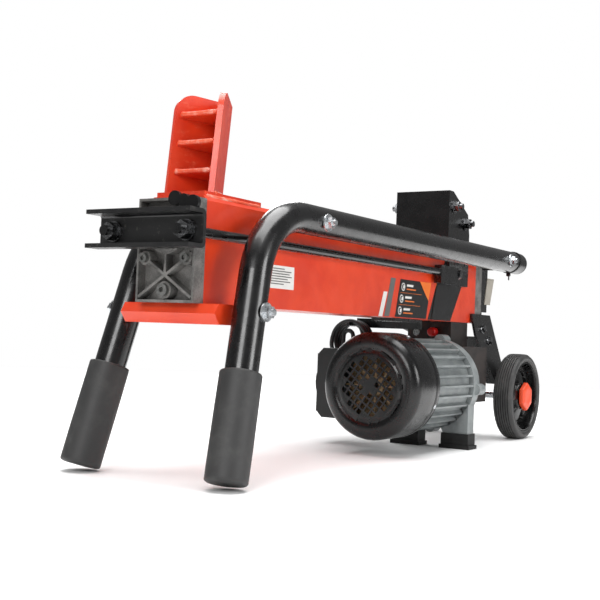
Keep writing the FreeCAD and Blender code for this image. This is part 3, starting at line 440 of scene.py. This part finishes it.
# %% [markdown]
# The end caps are bare die castings, and the motor is cast aluminium under a thin grey paint. The mould
# leaves grains of about a millimetre, which paint rounds off but doesn't hide, and dirt stays in the
# hollows, so the colour gets a second, darker tone from a coarse noise. The stator's copper and iron are
# inside and only get a simple winding pattern.

# %% Castings
def casting(name, shade, light, rough, grain=1.1, depth=0.12, metal=0.0):
    """Cast surface with grains of the given mm, painted or bare."""
    material, tree, shader, where = begin(name)
    cloud = noise(tree, where, 22, 5)
    fine = noise(tree, where, grain, 3)
    tone = add(tree, "ShaderNodeMath", {"operation": "MULTIPLY_ADD", 1: 0.5}, {0: fine, 2: cloud}).outputs[0]
    tree.links.new(blend(tree, steps(tree, tone, 0.55, 0.95), shade, light), shader.inputs["Base Color"])
    tree.links.new(steps(tree, cloud, 0.3, 0.7, rough, rough + 0.12), shader.inputs["Roughness"])
    shader.inputs["Metallic"].default_value = metal
    bump(tree, shader, fine, depth)
    return material


cap_grey = casting("bare_die_cast_cap", "#5c5b59", "#8a8885", 0.42, 1.3, 0.18, 0.35)
motor_grey = casting("painted_cast_motor", "#74797a", "#8d9292", 0.40, 0.9, 0.06, 0.1)
pump_brown = casting("oiled_pump_casting", "#1c1817", "#352d2a", 0.38, 1.4, 0.15, 0.3)
WINDING = 9.0                                              # mm from band to band, before the wave's own factor
copper_stack, tree, shader, where = begin("lacquered_copper_windings")
bands = add(tree, "ShaderNodeTexWave", {"Scale": 1 / (WINDING * MM) / 6.28, "Distortion": 0.6},
            {"Vector": where}).outputs["Fac"]
tree.links.new(blend(tree, bands, "#5a2f16", "#b8743f"), shader.inputs["Base Color"])
shader.inputs["Metallic"].default_value = 0.8
shader.inputs["Roughness"].default_value = 0.35
print("castings", cap_grey.name, motor_grey.name, pump_brown.name)

# %% [markdown]
# ## Rubber and plastic
#
# Rubber is dark grey rather than black, dull, and it holds a pale dust. Moulded plastic has the texture
# of the mould, which was eroded by sparks to grains of about half a millimetre; polished moulds, as for
# the fan cover, leave a shine instead. One function with a colour, a gloss and a grain size covers both.

# %% Moulded finishes
def moulded(name, base, dusty, gloss, grain=0.6, depth=0.05, dust=0.5):
    """Moulded skin with a fine grain; dust is where the paler tone starts."""
    material, tree, shader, where = begin(name)
    cloud = noise(tree, where, 28, 6, 0.65)
    tree.links.new(blend(tree, steps(tree, cloud, dust, dust + 0.3), base, dusty), shader.inputs["Base Color"])
    tree.links.new(steps(tree, cloud, 0.3, 0.7, gloss, gloss + 0.12), shader.inputs["Roughness"])
    bump(tree, shader, noise(tree, where, grain, 2), depth)
    return material


sleeve_rubber = moulded("grip_rubber", "#2e2e2e", "#3f3f3e", 0.50, 0.9, 0.08, 0.45)
pad_rubber = moulded("pad_rubber", "#101010", "#232322", 0.62, 0.8, 0.10)
tyre_rubber = moulded("solid_tyre_rubber", "#303030", "#474746", 0.46, 0.8, 0.06, 0.42)
black_plastic = moulded("moulded_black_abs", "#0a0a0b", "#161617", 0.30, 0.6, 0.05)
fan_black = moulded("polished_black_nylon", "#060607", "#0f0f10", 0.20, 2.5, 0.02)
orange_plastic = moulded("orange_polypropylene", "#e2481f", "#ea6a42", 0.38, 0.7, 0.05)
red_plastic = moulded("red_moulded_abs", "#b01512", "#c9302a", 0.30)
green_plastic = moulded("green_moulded_abs", "#0f6a32", "#2a8a4c", 0.30)
print("moulded finishes made")

# %% [markdown]
# Each CAD part arrives with named slots, and a slot takes the finish of that name. A few parts share a
# slot's colour but not its finish: the wedge gets the rubbed coat, the pump its oily brown, the bolts of
# the pusher and the tie rods their black oxide.

# %% Finishes onto the CAD parts
FINISH = {"red_paint": red_paint, "black_paint": black_paint, "cap_grey": cap_grey, "motor_grey": motor_grey,
          "zinc": zinc, "ground_steel": ground_steel, "dark_steel": dark_steel, "sleeve_rubber": sleeve_rubber,
          "pad_rubber": pad_rubber, "tyre_rubber": tyre_rubber, "black_plastic": black_plastic,
          "fan_cover_black": fan_black, "orange_plastic": orange_plastic, "red_plastic": red_plastic,
          "green_plastic": green_plastic, "cable_pvc": cable_pvc, "copper_stack": copper_stack}
pale_fan = moulded("natural_nylon_fan", "#b89c78", "#d2bb96", 0.45)
SPECIAL = {"wedge": rubbed_red, "wedge_base": rubbed_red, "pump_body": pump_brown, "rod_gland": cap_grey,
           "crosspiece": worn_black, "pusher_fasteners": black_oxide, "tie_rod_fasteners": black_oxide,
           "front_cap_screws": dull_zinc, "motor_fan": pale_fan}
for name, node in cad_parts.items():
    for slot in node.material_slots:
        slot.material = SPECIAL.get(name) or FINISH[slot.material.name.split(".")[0]]
print(len(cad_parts), "CAD parts finished")

# %% [markdown]
# ## Wheels
#
# A solid rubber tyre is pressed in a mould with rings cut round its tread. Its section is a closed
# profile: tread with six grooves, rounded shoulders, a thin side wall and the seat on the hub. Spun round
# the axle it is one closed surface.

# %% Tyres
HANDS = ((1, "left"), (-1, "right"))
AXLE = np.array([851.0, 0.0, 75.0])
TYRE_IN, TYRE_OUT, TYRE_R, SEAT_R = 83.0, 118.0, 75.0, 61.3
WIDTH = TYRE_OUT - TYRE_IN
across = np.linspace(0.14, 0.86, 150)
grooves = sum(np.exp(-((across - g) / 0.019) ** 4) for g in np.linspace(0.2, 0.8, 6))
tread = np.stack([across, 1.0 - 0.030 * grooves - 0.02 * (2 * across - 1) ** 4], -1) * (WIDTH, TYRE_R)
bend = np.linspace(0, np.pi / 2, 9)[1:]
shoulder = np.stack([30.1 + 4.7 * np.sin(bend), 68.8 + 4.6 * np.cos(bend)], -1)
wall = [(34.9, 66.5), (34.2, 64.8), (33.0, 64.0), (32.8, SEAT_R)]
half = np.concatenate([shoulder, wall])
tyre_profile = np.concatenate([tread, half, half[::-1] * (-1, 1) + (WIDTH, 0)])
for side, hand in HANDS:
    grid = spin(tyre_profile, AXLE + (0, side * TYRE_IN, 0), (0, side, 0), 144)
    make("tyre_tread_" + hand, [shell(grid, along=True)], tyre_rubber, "wheel_" + hand,
         ["tyre_" + hand], 50)

# %% [markdown]
# The hub is one glossy moulding: a rim inside the tyre, a deep channel, and a dished face that rises
# towards the middle. Five pockets between broad spokes save plastic. The face is a height over radius and
# angle, and a smooth product of two steps, one along the radius and one round the circle, sinks the
# pockets.

# %% Hubs
LIP, CHANNEL, DISH, POCKET, SPOKES = 33.0, 17.0, 13.5, 8.0, 5


def step(value, low, high):
    """Smooth rise from 0 to 1 between low and high."""
    t = np.clip((value - low) / (high - low), 0, 1)
    return t * t * (3 - 2 * t)


def hub_face(radius, angle):
    """Distance outwards of the hub's face: lip, channel, dish, with pockets between five spokes."""
    lip = LIP - CHANNEL * (1 - step(radius, 55.5, 58.5))
    dish = DISH * np.clip(1 - (radius / 50.0) ** 2, 0, 1) ** 0.6
    around = 0.5 + 0.5 * np.cos(SPOKES * angle + 0.6)
    pocket = step(around, 0.42, 0.62) * step(radius, 23, 27) * (1 - step(radius, 43, 47))
    return lip + dish - POCKET * pocket


turns = np.linspace(0, 2 * np.pi, 180, endpoint=False)
reach = np.concatenate([np.linspace(8, 54, 42), np.linspace(55, 59, 9), [60.2]])
rim = np.array([(61.0, 31.4), (61.0, 1.0), (57.5, 0.6), (57.0, 6.0), (20.0, 9.0), (14.0, 2.5), (8.0, 2.5)])
face = hub_face(reach[:, None], turns[None])
face[-1] = LIP - 0.6                                       # chamfer of the lip
radius = np.repeat(np.concatenate([reach[:, None], rim[:, :1]]), len(turns), 1)
out = np.concatenate([face, np.repeat(rim[:, 1:], len(turns), 1)]) + TYRE_IN
for side, hand in HANDS:
    grid = np.stack([AXLE[0] + radius * np.cos(turns), side * out, AXLE[2] + radius * np.sin(turns)], -1)
    make("hub_moulding_" + hand, [shell(grid, along=True)], fan_black, "wheel_" + hand,
         ["wheel_hub_" + hand], 50)

# %% [markdown]
# A six-sided orange cap snaps over the axle's end. Its outline is a circle whose radius follows a
# hexagon with rounded corners, and the profile gives it a chamfer and a shallow dome with a dimple.

# %% Hub caps
def hexagonal(profile, angle):
    """Radius factor of a rounded hexagon: apothem over the cosine to the nearest flat, softened."""
    nearest = (angle + np.pi / 6) % (np.pi / 3) - np.pi / 6
    return (1 / np.cos(nearest) ** 0.9)[None] * np.ones((len(profile), 1))


cap_profile = [(0.0, 21.6), (5.6, 21.6), (7.0, 20.9), (7.8, 19.4), (8.4, 16.0), (8.8, 12.5), (8.6, 11.0),
               (8.1, 6.0), (8.0, 0.4)]
for side, hand in HANDS:
    low, high = box_mm("hub_cap_" + hand)
    start = (AXLE[0], low[1] if side > 0 else high[1], AXLE[2])
    grid = spin(cap_profile, start, (0, side, 0), 96, hexagonal)
    make("hub_cap_moulding_" + hand, [shell(grid)], orange_plastic, "wheel_" + hand, ["hub_cap_" + hand],
         30)

# %% [markdown]
# ## Fan cover
#
# The fan cover is a glossy nylon bowl pushed over the motor's end. Its profile has a broad rounded shoulder,
# a ring groove that stiffens the face, and a flat middle with the air grille. The bowl is spun with a wall
# of about two and a half millimetres; the grille is a flat lattice of square holes set into it, turned
# as the mould was.

# %% Bowl of the fan cover
fan_low, fan_high = box_mm("fan_cover")
FAN_Y, FAN_Z = (fan_low[1:] + fan_high[1:]) / 2
GRILLE_R, COVER_R, COVER_INSIDE = 43.5, 78.0, 75.5
ROUND, ROUND_INSIDE = 15.5, 13.5                           # shoulder radii outside and inside
depth = fan_high[0] - fan_low[0]
corner = np.linspace(0, np.pi / 2, 14)[::-1]
outer = [(0.9, GRILLE_R), (0.9, 46), (1.0, 49), (2.3, 50.5), (2.6, 52.5), (2.2, 54.5), (0.7, 56), (0.2, 58),
         (0.0, 61)]
outer += [(ROUND * (1 - math.sin(a)), COVER_R - ROUND + ROUND * math.cos(a)) for a in corner]
outer += [(45, COVER_R), (depth - 14, COVER_R), (depth - 12, COVER_R - 0.4), (depth - 11.4, COVER_R),
          (depth - 0.4, COVER_R), (depth, COVER_R - 0.4)]
inner = [(depth, 75.6), (18, COVER_INSIDE)]
inner += [(17 - ROUND_INSIDE * math.cos(a), COVER_INSIDE - ROUND_INSIDE + ROUND_INSIDE * math.sin(a))
          for a in corner[1:]]
inner += [(3.4, 58), (4.6, 54.5), (5.0, 52), (3.8, 49), (3.4, GRILLE_R)]
bowl = spin(outer + inner, (fan_low[0], FAN_Y, FAN_Z), (1, 0, 0), 160)
make("fan_bowl", [shell(bowl, along=True)], fan_black, replaces=["fan_cover"], crease=60)

# %% [markdown]
# Each cell of the lattice is a square frame, so the whole grille is one small pattern of eight outer and
# eight inner points, shifted to every cell. In the middle and outside the reach of the holes the frame's
# window shrinks to a slit too small to see, which leaves solid plastic there.

# %% Grille
PITCH, HOLE, SLIT, TILT = 9.6, 7.0, 0.1, math.radians(35)
OPEN_FROM, OPEN_TO, LATTICE_R = 12, 41, 50                 # the holes' ring and the lattice's own radius
cells = np.array([(i * PITCH, j * PITCH) for i in range(-5, 6) for j in range(-5, 6)])
away = np.hypot(*cells.T)
cells, away = cells[away < LATTICE_R], away[away < LATTICE_R]
window = np.where((away > OPEN_FROM) & (away < OPEN_TO), HOLE / 2, SLIT / 2)
corners = np.array([(-1, -1), (1, -1), (1, 1), (-1, 1)])
rim = cells[:, None] + corners * PITCH / 2
gap = cells[:, None] + corners * window[:, None, None]
flat = np.stack([rim, gap], 1)
turned = np.stack([flat[..., 0] * math.cos(TILT) - flat[..., 1] * math.sin(TILT),
                   flat[..., 0] * math.sin(TILT) + flat[..., 1] * math.cos(TILT)], -1)
levels = np.array([fan_low[0] + 1.3, fan_low[0] + 3.3])
grid = np.empty((len(cells), 2, 2, 4, 3))
grid[..., 0] = levels[None, :, None, None]
grid[..., 1:] = turned[:, None] + (FAN_Y, FAN_Z)
k = np.arange(4)
n = (k + 1) % 4
front = np.stack([k, k + 4, n + 4, n], -1)
rear = np.stack([k + 8, n + 8, n + 12, k + 12], -1)
walls = np.stack([k + 4, k + 12, n + 12, n + 4], -1)
outside = np.stack([k, n, n + 8, k + 8], -1)
pattern = np.concatenate([front, rear, walls, outside])
faces = (pattern[None] + np.arange(len(cells))[:, None, None] * 16).reshape(-1, 4)
make("fan_grille", [(grid.reshape(-1, 3), [faces])], fan_black, crease=30)

# %% [markdown]
# ## Foot grips
#
# Each leg ends in a thick rubber sleeve. It is pushed on, so its upper edge is rolled over and it bulges
# slightly, and its sole is closed and rounded. The sleeve's axis is the leg's own, leaning back and inwards.

# %% Foot sleeves
LEAN = np.array([0.2759, -0.0787, 0.958])
SOLE = np.array([-31.0, 106.4, 7.0])
height = np.linspace(3, 121, 40)
grip = np.concatenate([[(0.0, 0.5), (0.0, 18.5), (0.5, 21.0), (1.6, 23.2)],
                       np.stack([height, 24.2 + 0.25 * np.sin(height / 118 * np.pi)], -1),
                       [(122.6, 24.0), (123.6, 23.2), (124.0, 22.2), (124.0, 20.6), (122.5, 19.3), (118, 19.2),
                        (2.0, 19.2), (2.0, 0.5)]])
sleeves = [shell(spin(grip, SOLE * (1, s, 1), LEAN * (1, s, 1), 96)) for s in (-1, 1)]
make("foot_grips", sleeves, sleeve_rubber, replaces=["foot_sleeves"], crease=60)

# %% [markdown]
# ## Printed vinyl
#
# The beam's side carries a printed film in slanted blocks of colour. Film is a quarter of a millimetre thick
# and cut square, so each block is an outline pushed out by that much. Its colours are duller than
# paint and it has very shallow waves from being rubbed on. No words are printed here: short bars and
# rings keep the look of a specification panel.

# %% Vinyl finishes and stickers
def vinyl(name, colour, faded, gloss=0.32):
    """Printed film, faintly mottled and wavy."""
    material, tree, shader, where = begin(name)
    tree.links.new(blend(tree, noise(tree, where, 18, 5), colour, faded), shader.inputs["Base Color"])
    tree.links.new(steps(tree, noise(tree, where, 9), 0.3, 0.7, gloss, gloss + 0.1), shader.inputs["Roughness"])
    bump(tree, shader, noise(tree, where, 12, 1), 0.06)
    return material


black_film = vinyl("printed_black_vinyl", "#0b0b0c", "#161617")
white_film = vinyl("printed_white_vinyl", "#d9d8d4", "#efeeea")
grey_film = vinyl("printed_grey_vinyl", "#5a5a5a", "#6c6b69")
orange_film = vinyl("printed_orange_vinyl", "#e5681c", "#ef8430")
FILM = 0.25
SIDE_Y = BEAM_HIGH.y / MM


def sticker(outline, layer=0, side=-1):
    """An (x, z) outline in mm pushed out of a side of the beam by one film thickness; layers stack up."""
    outline = np.asarray(outline, float)
    y = side * (SIDE_Y + FILM * (layer + np.array([-0.2, 1.0])))
    points = np.empty((2, len(outline), 3))
    points[..., 0], points[..., 2] = outline[:, 0], outline[:, 1]
    points[..., 1] = y[:, None]
    return shell(points)


def bar(x0, x1, z0, z1, slant=0.0, layer=0, side=-1):
    """A four-cornered block whose top is shifted by slant."""
    return sticker([(x0, z0), (x1, z0), (x1 + slant, z1), (x0 + slant, z1)], layer, side)


print("film", FILM, "mm on the sides at y", round(-SIDE_Y, 1), "and", round(SIDE_Y, 1))

# %% Blocks on the beam
BAND = [(592.7, 201.8), (681, 201.8), (752, 302), (654, 302), (625.5, 267.7)]
PANEL_FOOT = 202.5
panel = bar(477, 586, PANEL_FOOT, 261, 15)
make("film_black_blocks", [sticker(BAND), sticker(BAND, 0, 1), panel], black_film, crease=30)
white = [bar(424, 436, 201.8, 239, 14, 0, s) for s in (-1, 1)]
make("film_white_blocks", white + [bar(130.5, 189, 227, 256)], white_film, crease=30)
make("film_grey_block", [bar(442, 458, 202.4, 261, 18, 0, s) for s in (-1, 1)], grey_film, crease=30)
orange = [sticker([(560, 261), (601, 261), (593, 232), (576, 246)], 1), bar(604, 607, 203, 262, 17)]
make("film_orange_blocks", orange, orange_film, crease=30)

# %% Generic panel marks
PANEL_ROWS = (249.5, 231.0, 212.5)
white_marks, black_marks, orange_marks = [], [], []
for z in PANEL_ROWS:
    x = 490.0 + (z - PANEL_FOOT) * 0.25                    # the rows follow the slant of the panel
    white_marks.append(sticker(circle(6.2, 24) + (x, z), 1))
    black_marks.append(sticker(circle(4.6, 24) + (x, z), 2))
    white_marks.append(bar(x + 12, x + 34, z + 1.0, z + 4.4, 1, 1))
    orange_marks.append(bar(x + 12, x + 44, z - 4.0, z - 2.2, 0.5, 1))
    white_marks.append(bar(x - 2, x + 3, z - 2.6, z + 2.6, 1.3, 3))
    if z != PANEL_ROWS[-1]:
        orange_marks.append(bar(x - 9, x + 66, z - 9.4, z - 8.9, 0, 1))
make("film_panel_rings", white_marks, white_film, crease=30)
make("film_panel_centres", black_marks, black_film, crease=30)
make("film_panel_notes", orange_marks, orange_film, crease=30)
widths = (30, 46, 42, 47, 38, 44, 29)
rows = [bar(136, 136 + w, 251.5 - 3.2 * i, 252.7 - 3.2 * i, 0, 1) for i, w in enumerate(widths)]
make("film_label_rows", rows, grey_film, crease=30)

# %% [markdown]
# ## Welds
#
# The wedge's plates and gussets are welded on, and a weld bead is a row of small overlapping scales. Such a
# bead is a round section carried along the joint, and its size swells and shrinks every few
# millimetres. A short wave that repeats is enough, with a slower one over it so that it doesn't look like a
# spring. The paint covers it.

# %% Weld beads
def bead(start, end, size):
    """A weld from start to end: a circle of radius size whose radius ripples every 2.4 mm."""
    start, end = np.asarray(start, float), np.asarray(end, float)
    length = np.linalg.norm(end - start)
    along = np.linspace(0, length, int(length / 0.6) + 2)
    path = start + (end - start) * (along / length)[:, None]
    ripple = 1 + 0.13 * np.abs(np.sin(along / 2.4 * np.pi)) + 0.08 * np.sin(along / 11 + size)
    ends = np.clip(np.minimum(along, length - along) / (0.9 * size), 0.25, 1) ** 0.5
    return shell(carry(path, circle(size, 10), ripple * ends))


GUSSETS = (356.0, 391.0, 426.0)
TILT_BACK = math.tan(math.radians(6.5))                    # the wedge leans back by this much
wedge_low, wedge_high = box_mm("wedge")
base_low, base_high = box_mm("wedge_base")
beads = []
for side in (-1, 1):
    inner_end = (wedge_high[0] - 6, side * 9, base_high[2])
    outer_end = (wedge_low[0] + 6, side * (wedge_high[1] - 2.0), base_high[2])
    beads.append(bead(inner_end, outer_end, 2.2))
    edge = side * base_high[1]
    beads.append(bead((base_low[0] + 2, edge, 325.2), (base_high[0] - 2, edge, 325.2), 2.4))
for z in GUSSETS:                                          # front edge and sides of each gusset, 5 mm thick
    nose = 20.0 + (z - base_low[2]) * TILT_BACK
    # the bead along each gusset's front edge wears the pale weld paint as a painted highlight of its rounded
    # nose
    beads.append(bead((nose, -26.5, z + 2.4), (nose, 26.5, z + 2.4), 2.5))
    for side in (-1, 1):
        beads.append(bead((nose + 1, side * 27.2, z + 4.6), (nose + 24, side * 14.5, z + 4.6), 2.2))
make("wedge_welds", beads, weld_red_rub_and_highlight)

# %% [markdown]
# ## Small parts
#
# A nylon tie is pulled round the rail's end, and a beige tag hangs at the rear bracket. The tie is a flat
# section carried round the tube and a little askew; its head and its tail are two small blocks below it.

# %% Cable tie and tag
TUBE_R = 19.0
TIE_X, TIE_ASKEW = 850, 9
rail_low, _ = box_mm("tube_end_plugs")
RAIL_Y, RAIL_Z = rail_low[1:] + TUBE_R
turn = np.linspace(0, 2 * np.pi, 72, endpoint=False)
flat_strap = np.array([(-2.3, 0.0), (2.3, 0.0), (2.3, 1.2), (-2.3, 1.2)])
reach = TUBE_R + 0.15 + flat_strap[:, 1:]
strap = np.stack([flat_strap[:, :1] + (TIE_X + TIE_ASKEW * np.sin(turn)),
                  RAIL_Y + reach * np.cos(turn), RAIL_Z + reach * np.sin(turn)], -1)
strap = np.swapaxes(strap, 0, 1)


def block(low, high, soft):
    """A closed block with rounded long edges: an eight-cornered section between two ends."""
    (x0, y0, z0), (x1, y1, z1) = low, high
    ring = [(y0 + soft, z0), (y1 - soft, z0), (y1, z0 + soft), (y1, z1 - soft), (y1 - soft, z1), (y0 + soft, z1),
            (y0, z1 - soft), (y0, z0 + soft)]
    return shell(np.array([[(x, y, z) for y, z in ring] for x in (x0, x1)]))


head = block((838, RAIL_Y - 3, RAIL_Z - 25.5), (844, RAIL_Y + 3, RAIL_Z - 19), 1.2)
tail_end = block((839.5, RAIL_Y - 1.4, RAIL_Z - 32.5), (842.5, RAIL_Y - 0.2, RAIL_Z - 25), 0.4)
make("rail_tie", [shell(strap, along=True), head, tail_end], black_plastic)
tag_outline = [(826, 236), (852, 236), (868, 284), (838, 284)]
tag_points = np.array([[(x, y, z) for x, z in tag_outline] for y in (-43.4, -42.3)])
tag_film = vinyl("beige_vinyl", "#9b958a", "#aaa59a", 0.5)
make("rear_tag", [shell(tag_points)], tag_film, crease=30)

# %% [markdown]
# Two black hexagon bolts hold each leg of the wheel bracket to the beam. Their heads are six-sided
# profiles with a chamfer on a round washer, and they follow the splay of the leg.

# %% Bolts of the wheel bracket
bracket_low, bracket_high = box_mm("wheel_bracket")
TOP_HALF, FOOT_HALF = 42.5, 74.0                           # half widths between the legs' inner faces
SPLAY = (FOOT_HALF - TOP_HALF) / (bracket_high[2] - bracket_low[2])
lean_out = np.array([0.0, 1.0, SPLAY]) / math.hypot(1.0, SPLAY)
washer = [(-0.6, 0.5), (-0.6, 8.4), (0.8, 8.4), (1.1, 8.0), (1.1, 0.5)]
hexagon_head = [(0.9, 0.5), (0.9, 5.6), (5.0, 5.6), (5.8, 5.0), (5.8, 0.5)]
heads = []
for side in (-1, 1):
    for x, z in ((801.0, 192.0), (822.0, 172.0)):
        seat = (x, side * (46.6 + SPLAY * (bracket_high[2] - z)), z)
        outward = lean_out * (1, side, 1)
        heads.append(shell(spin(washer, seat, outward, 32)))
        heads.append(shell(spin(hexagon_head, seat, outward, 48, hexagonal)))
make("bracket_bolts", heads, black_oxide, crease=25)

# %% [markdown]
# The fan cover is held by pan-head screws through its rim. Each is a small domed head with a cross slot
# pressed into it; the slot is a dent in the dome's height where either of two directions is narrow.

# %% Fan cover screws
def cross_head(centre, outward, radius):
    """A screw head: height 1.9 sqrt(1 - (r / 1.15 R)^2) over a polar grid, less a cross-shaped dent."""
    outward = np.asarray(outward, float) / np.linalg.norm(outward)
    first = np.cross(outward, (1.0, 0.0, 0.0))
    first /= np.linalg.norm(first)
    second = np.cross(outward, first)
    r = np.concatenate([np.linspace(0.15, radius, 12), [radius]])[:, None]
    a = np.linspace(0, 2 * np.pi, 32, endpoint=False)[None]
    u, v = r * np.cos(a), r * np.sin(a)
    rise = 1.9 * np.sqrt(np.clip(1 - (r / (radius * 1.15)) ** 2, 0, 1)) + 0 * a
    cross = np.exp(-(np.minimum(abs(u), abs(v)) / 0.45) ** 4) * (r < radius * 0.62)
    rise = rise - 0.9 * cross
    rise[-1] = -0.8
    return shell(np.asarray(centre, float) + rise[..., None] * outward
                 + u[..., None] * first + v[..., None] * second)


screws = []
for degrees in (20, 110, 200, 290):
    a = math.radians(degrees)
    out = np.array([0.0, math.cos(a), math.sin(a)])
    screws.append(cross_head(np.array([fan_high[0] - 7, FAN_Y, FAN_Z]) + out * (COVER_R - 0.4), out, 3.6))
make("fan_cover_screws", screws, zinc)

# %% [markdown]
# ## Floor and light
#
# A studio floor is a wide disc of white paper under a broad overhead panel that is strong enough to make
# the paper nearly white. Three more soft panels shape the machine: one from the left front that draws the
# long highlights on the tubes, a fill from the right, and one behind that separates the black parts
# from the floor. The world shows white behind the machine but lights it only a little, because a
# white room all round would turn every glossy black part grey.

# %% Floor
paper, tree, shader, where = begin("matt_white_paper")
tree.links.new(blend(tree, noise(tree, where, 300), "#f4f4f4", "#fafafa"), shader.inputs["Base Color"])
shader.inputs["Roughness"].default_value = 0.85
shader.inputs["Specular IOR Level"].default_value = 0.1
radii = np.concatenate([[0.01], np.linspace(250, 2600, 20)])[:, None]
around = np.linspace(0, 2 * np.pi, 96, endpoint=False)
floor_grid = np.stack(np.broadcast_arrays(radii * np.cos(around), radii * np.sin(around), 0.0), -1)
mesh = bpy.data.meshes.new("paper_floor")
number = np.arange(len(radii) * len(around)).reshape(-1, len(around))
near, far = number[:-1], number[1:]
sheet = np.stack([near, np.roll(near, -1, 1), np.roll(far, -1, 1), far], -1)[..., ::-1]
mesh.from_pydata((floor_grid.reshape(-1, 3) * MM).tolist(), [], sheet.reshape(-1, 4).tolist())
mesh.polygons.foreach_set("use_smooth", [True] * len(mesh.polygons))
mesh.materials.append(paper)
floor = bpy.data.objects.new("paper_floor", mesh)
bpy.context.scene.collection.objects.link(floor)
print("floor of", len(mesh.polygons), "faces")

# %% Lights and world
def panel_light(name, place, target, size, power, tint="#ffffff"):
    """A square soft light at place that faces target, sizes in metres and watts."""
    data = bpy.data.lights.new(name, "AREA")
    data.shape, data.size, data.energy = "SQUARE", size, power
    data.color = linear(tint)[:3]
    lamp = bpy.data.objects.new(name, data)
    aim = Vector(target) - Vector(place)
    lamp.matrix_world = Matrix.Translation(place) @ aim.to_track_quat("-Z", "Y").to_matrix().to_4x4()
    bpy.context.scene.collection.objects.link(lamp)


panel_light("overhead", (0.1, 0.1, 3.4), (0.1, 0.1, 0), 3.2, 190)
panel_light("left_front", (-2.4, -0.5, 1.3), (0, 0, 0.2), 1.0, 26)
panel_light("right_fill", (0.2, -3.0, 1.2), (0, 0, 0.15), 1.2, 38)
panel_light("behind", (2.0, 2.0, 1.6), (0, 0, 0.2), 1.4, 30)
world = bpy.data.worlds.new("studio")
world.use_nodes = True
sky = world.node_tree
dim = sky.nodes["Background"]
dim.inputs["Strength"].default_value = 0.22
dim.inputs["Color"].default_value = (1, 1, 1, 1)
backdrop = add(sky, "ShaderNodeBackground", {"Color": (1, 1, 1, 1), "Strength": 1.0})
seen = add(sky, "ShaderNodeLightPath").outputs["Is Camera Ray"]
either = add(sky, "ShaderNodeMixShader", links={0: seen, 1: dim.outputs[0], 2: backdrop.outputs[0]})
sky.links.new(either.outputs[0], sky.nodes["World Output"].inputs["Surface"])
bpy.context.scene.world = world
bpy.context.scene.view_settings.view_transform = "Standard"
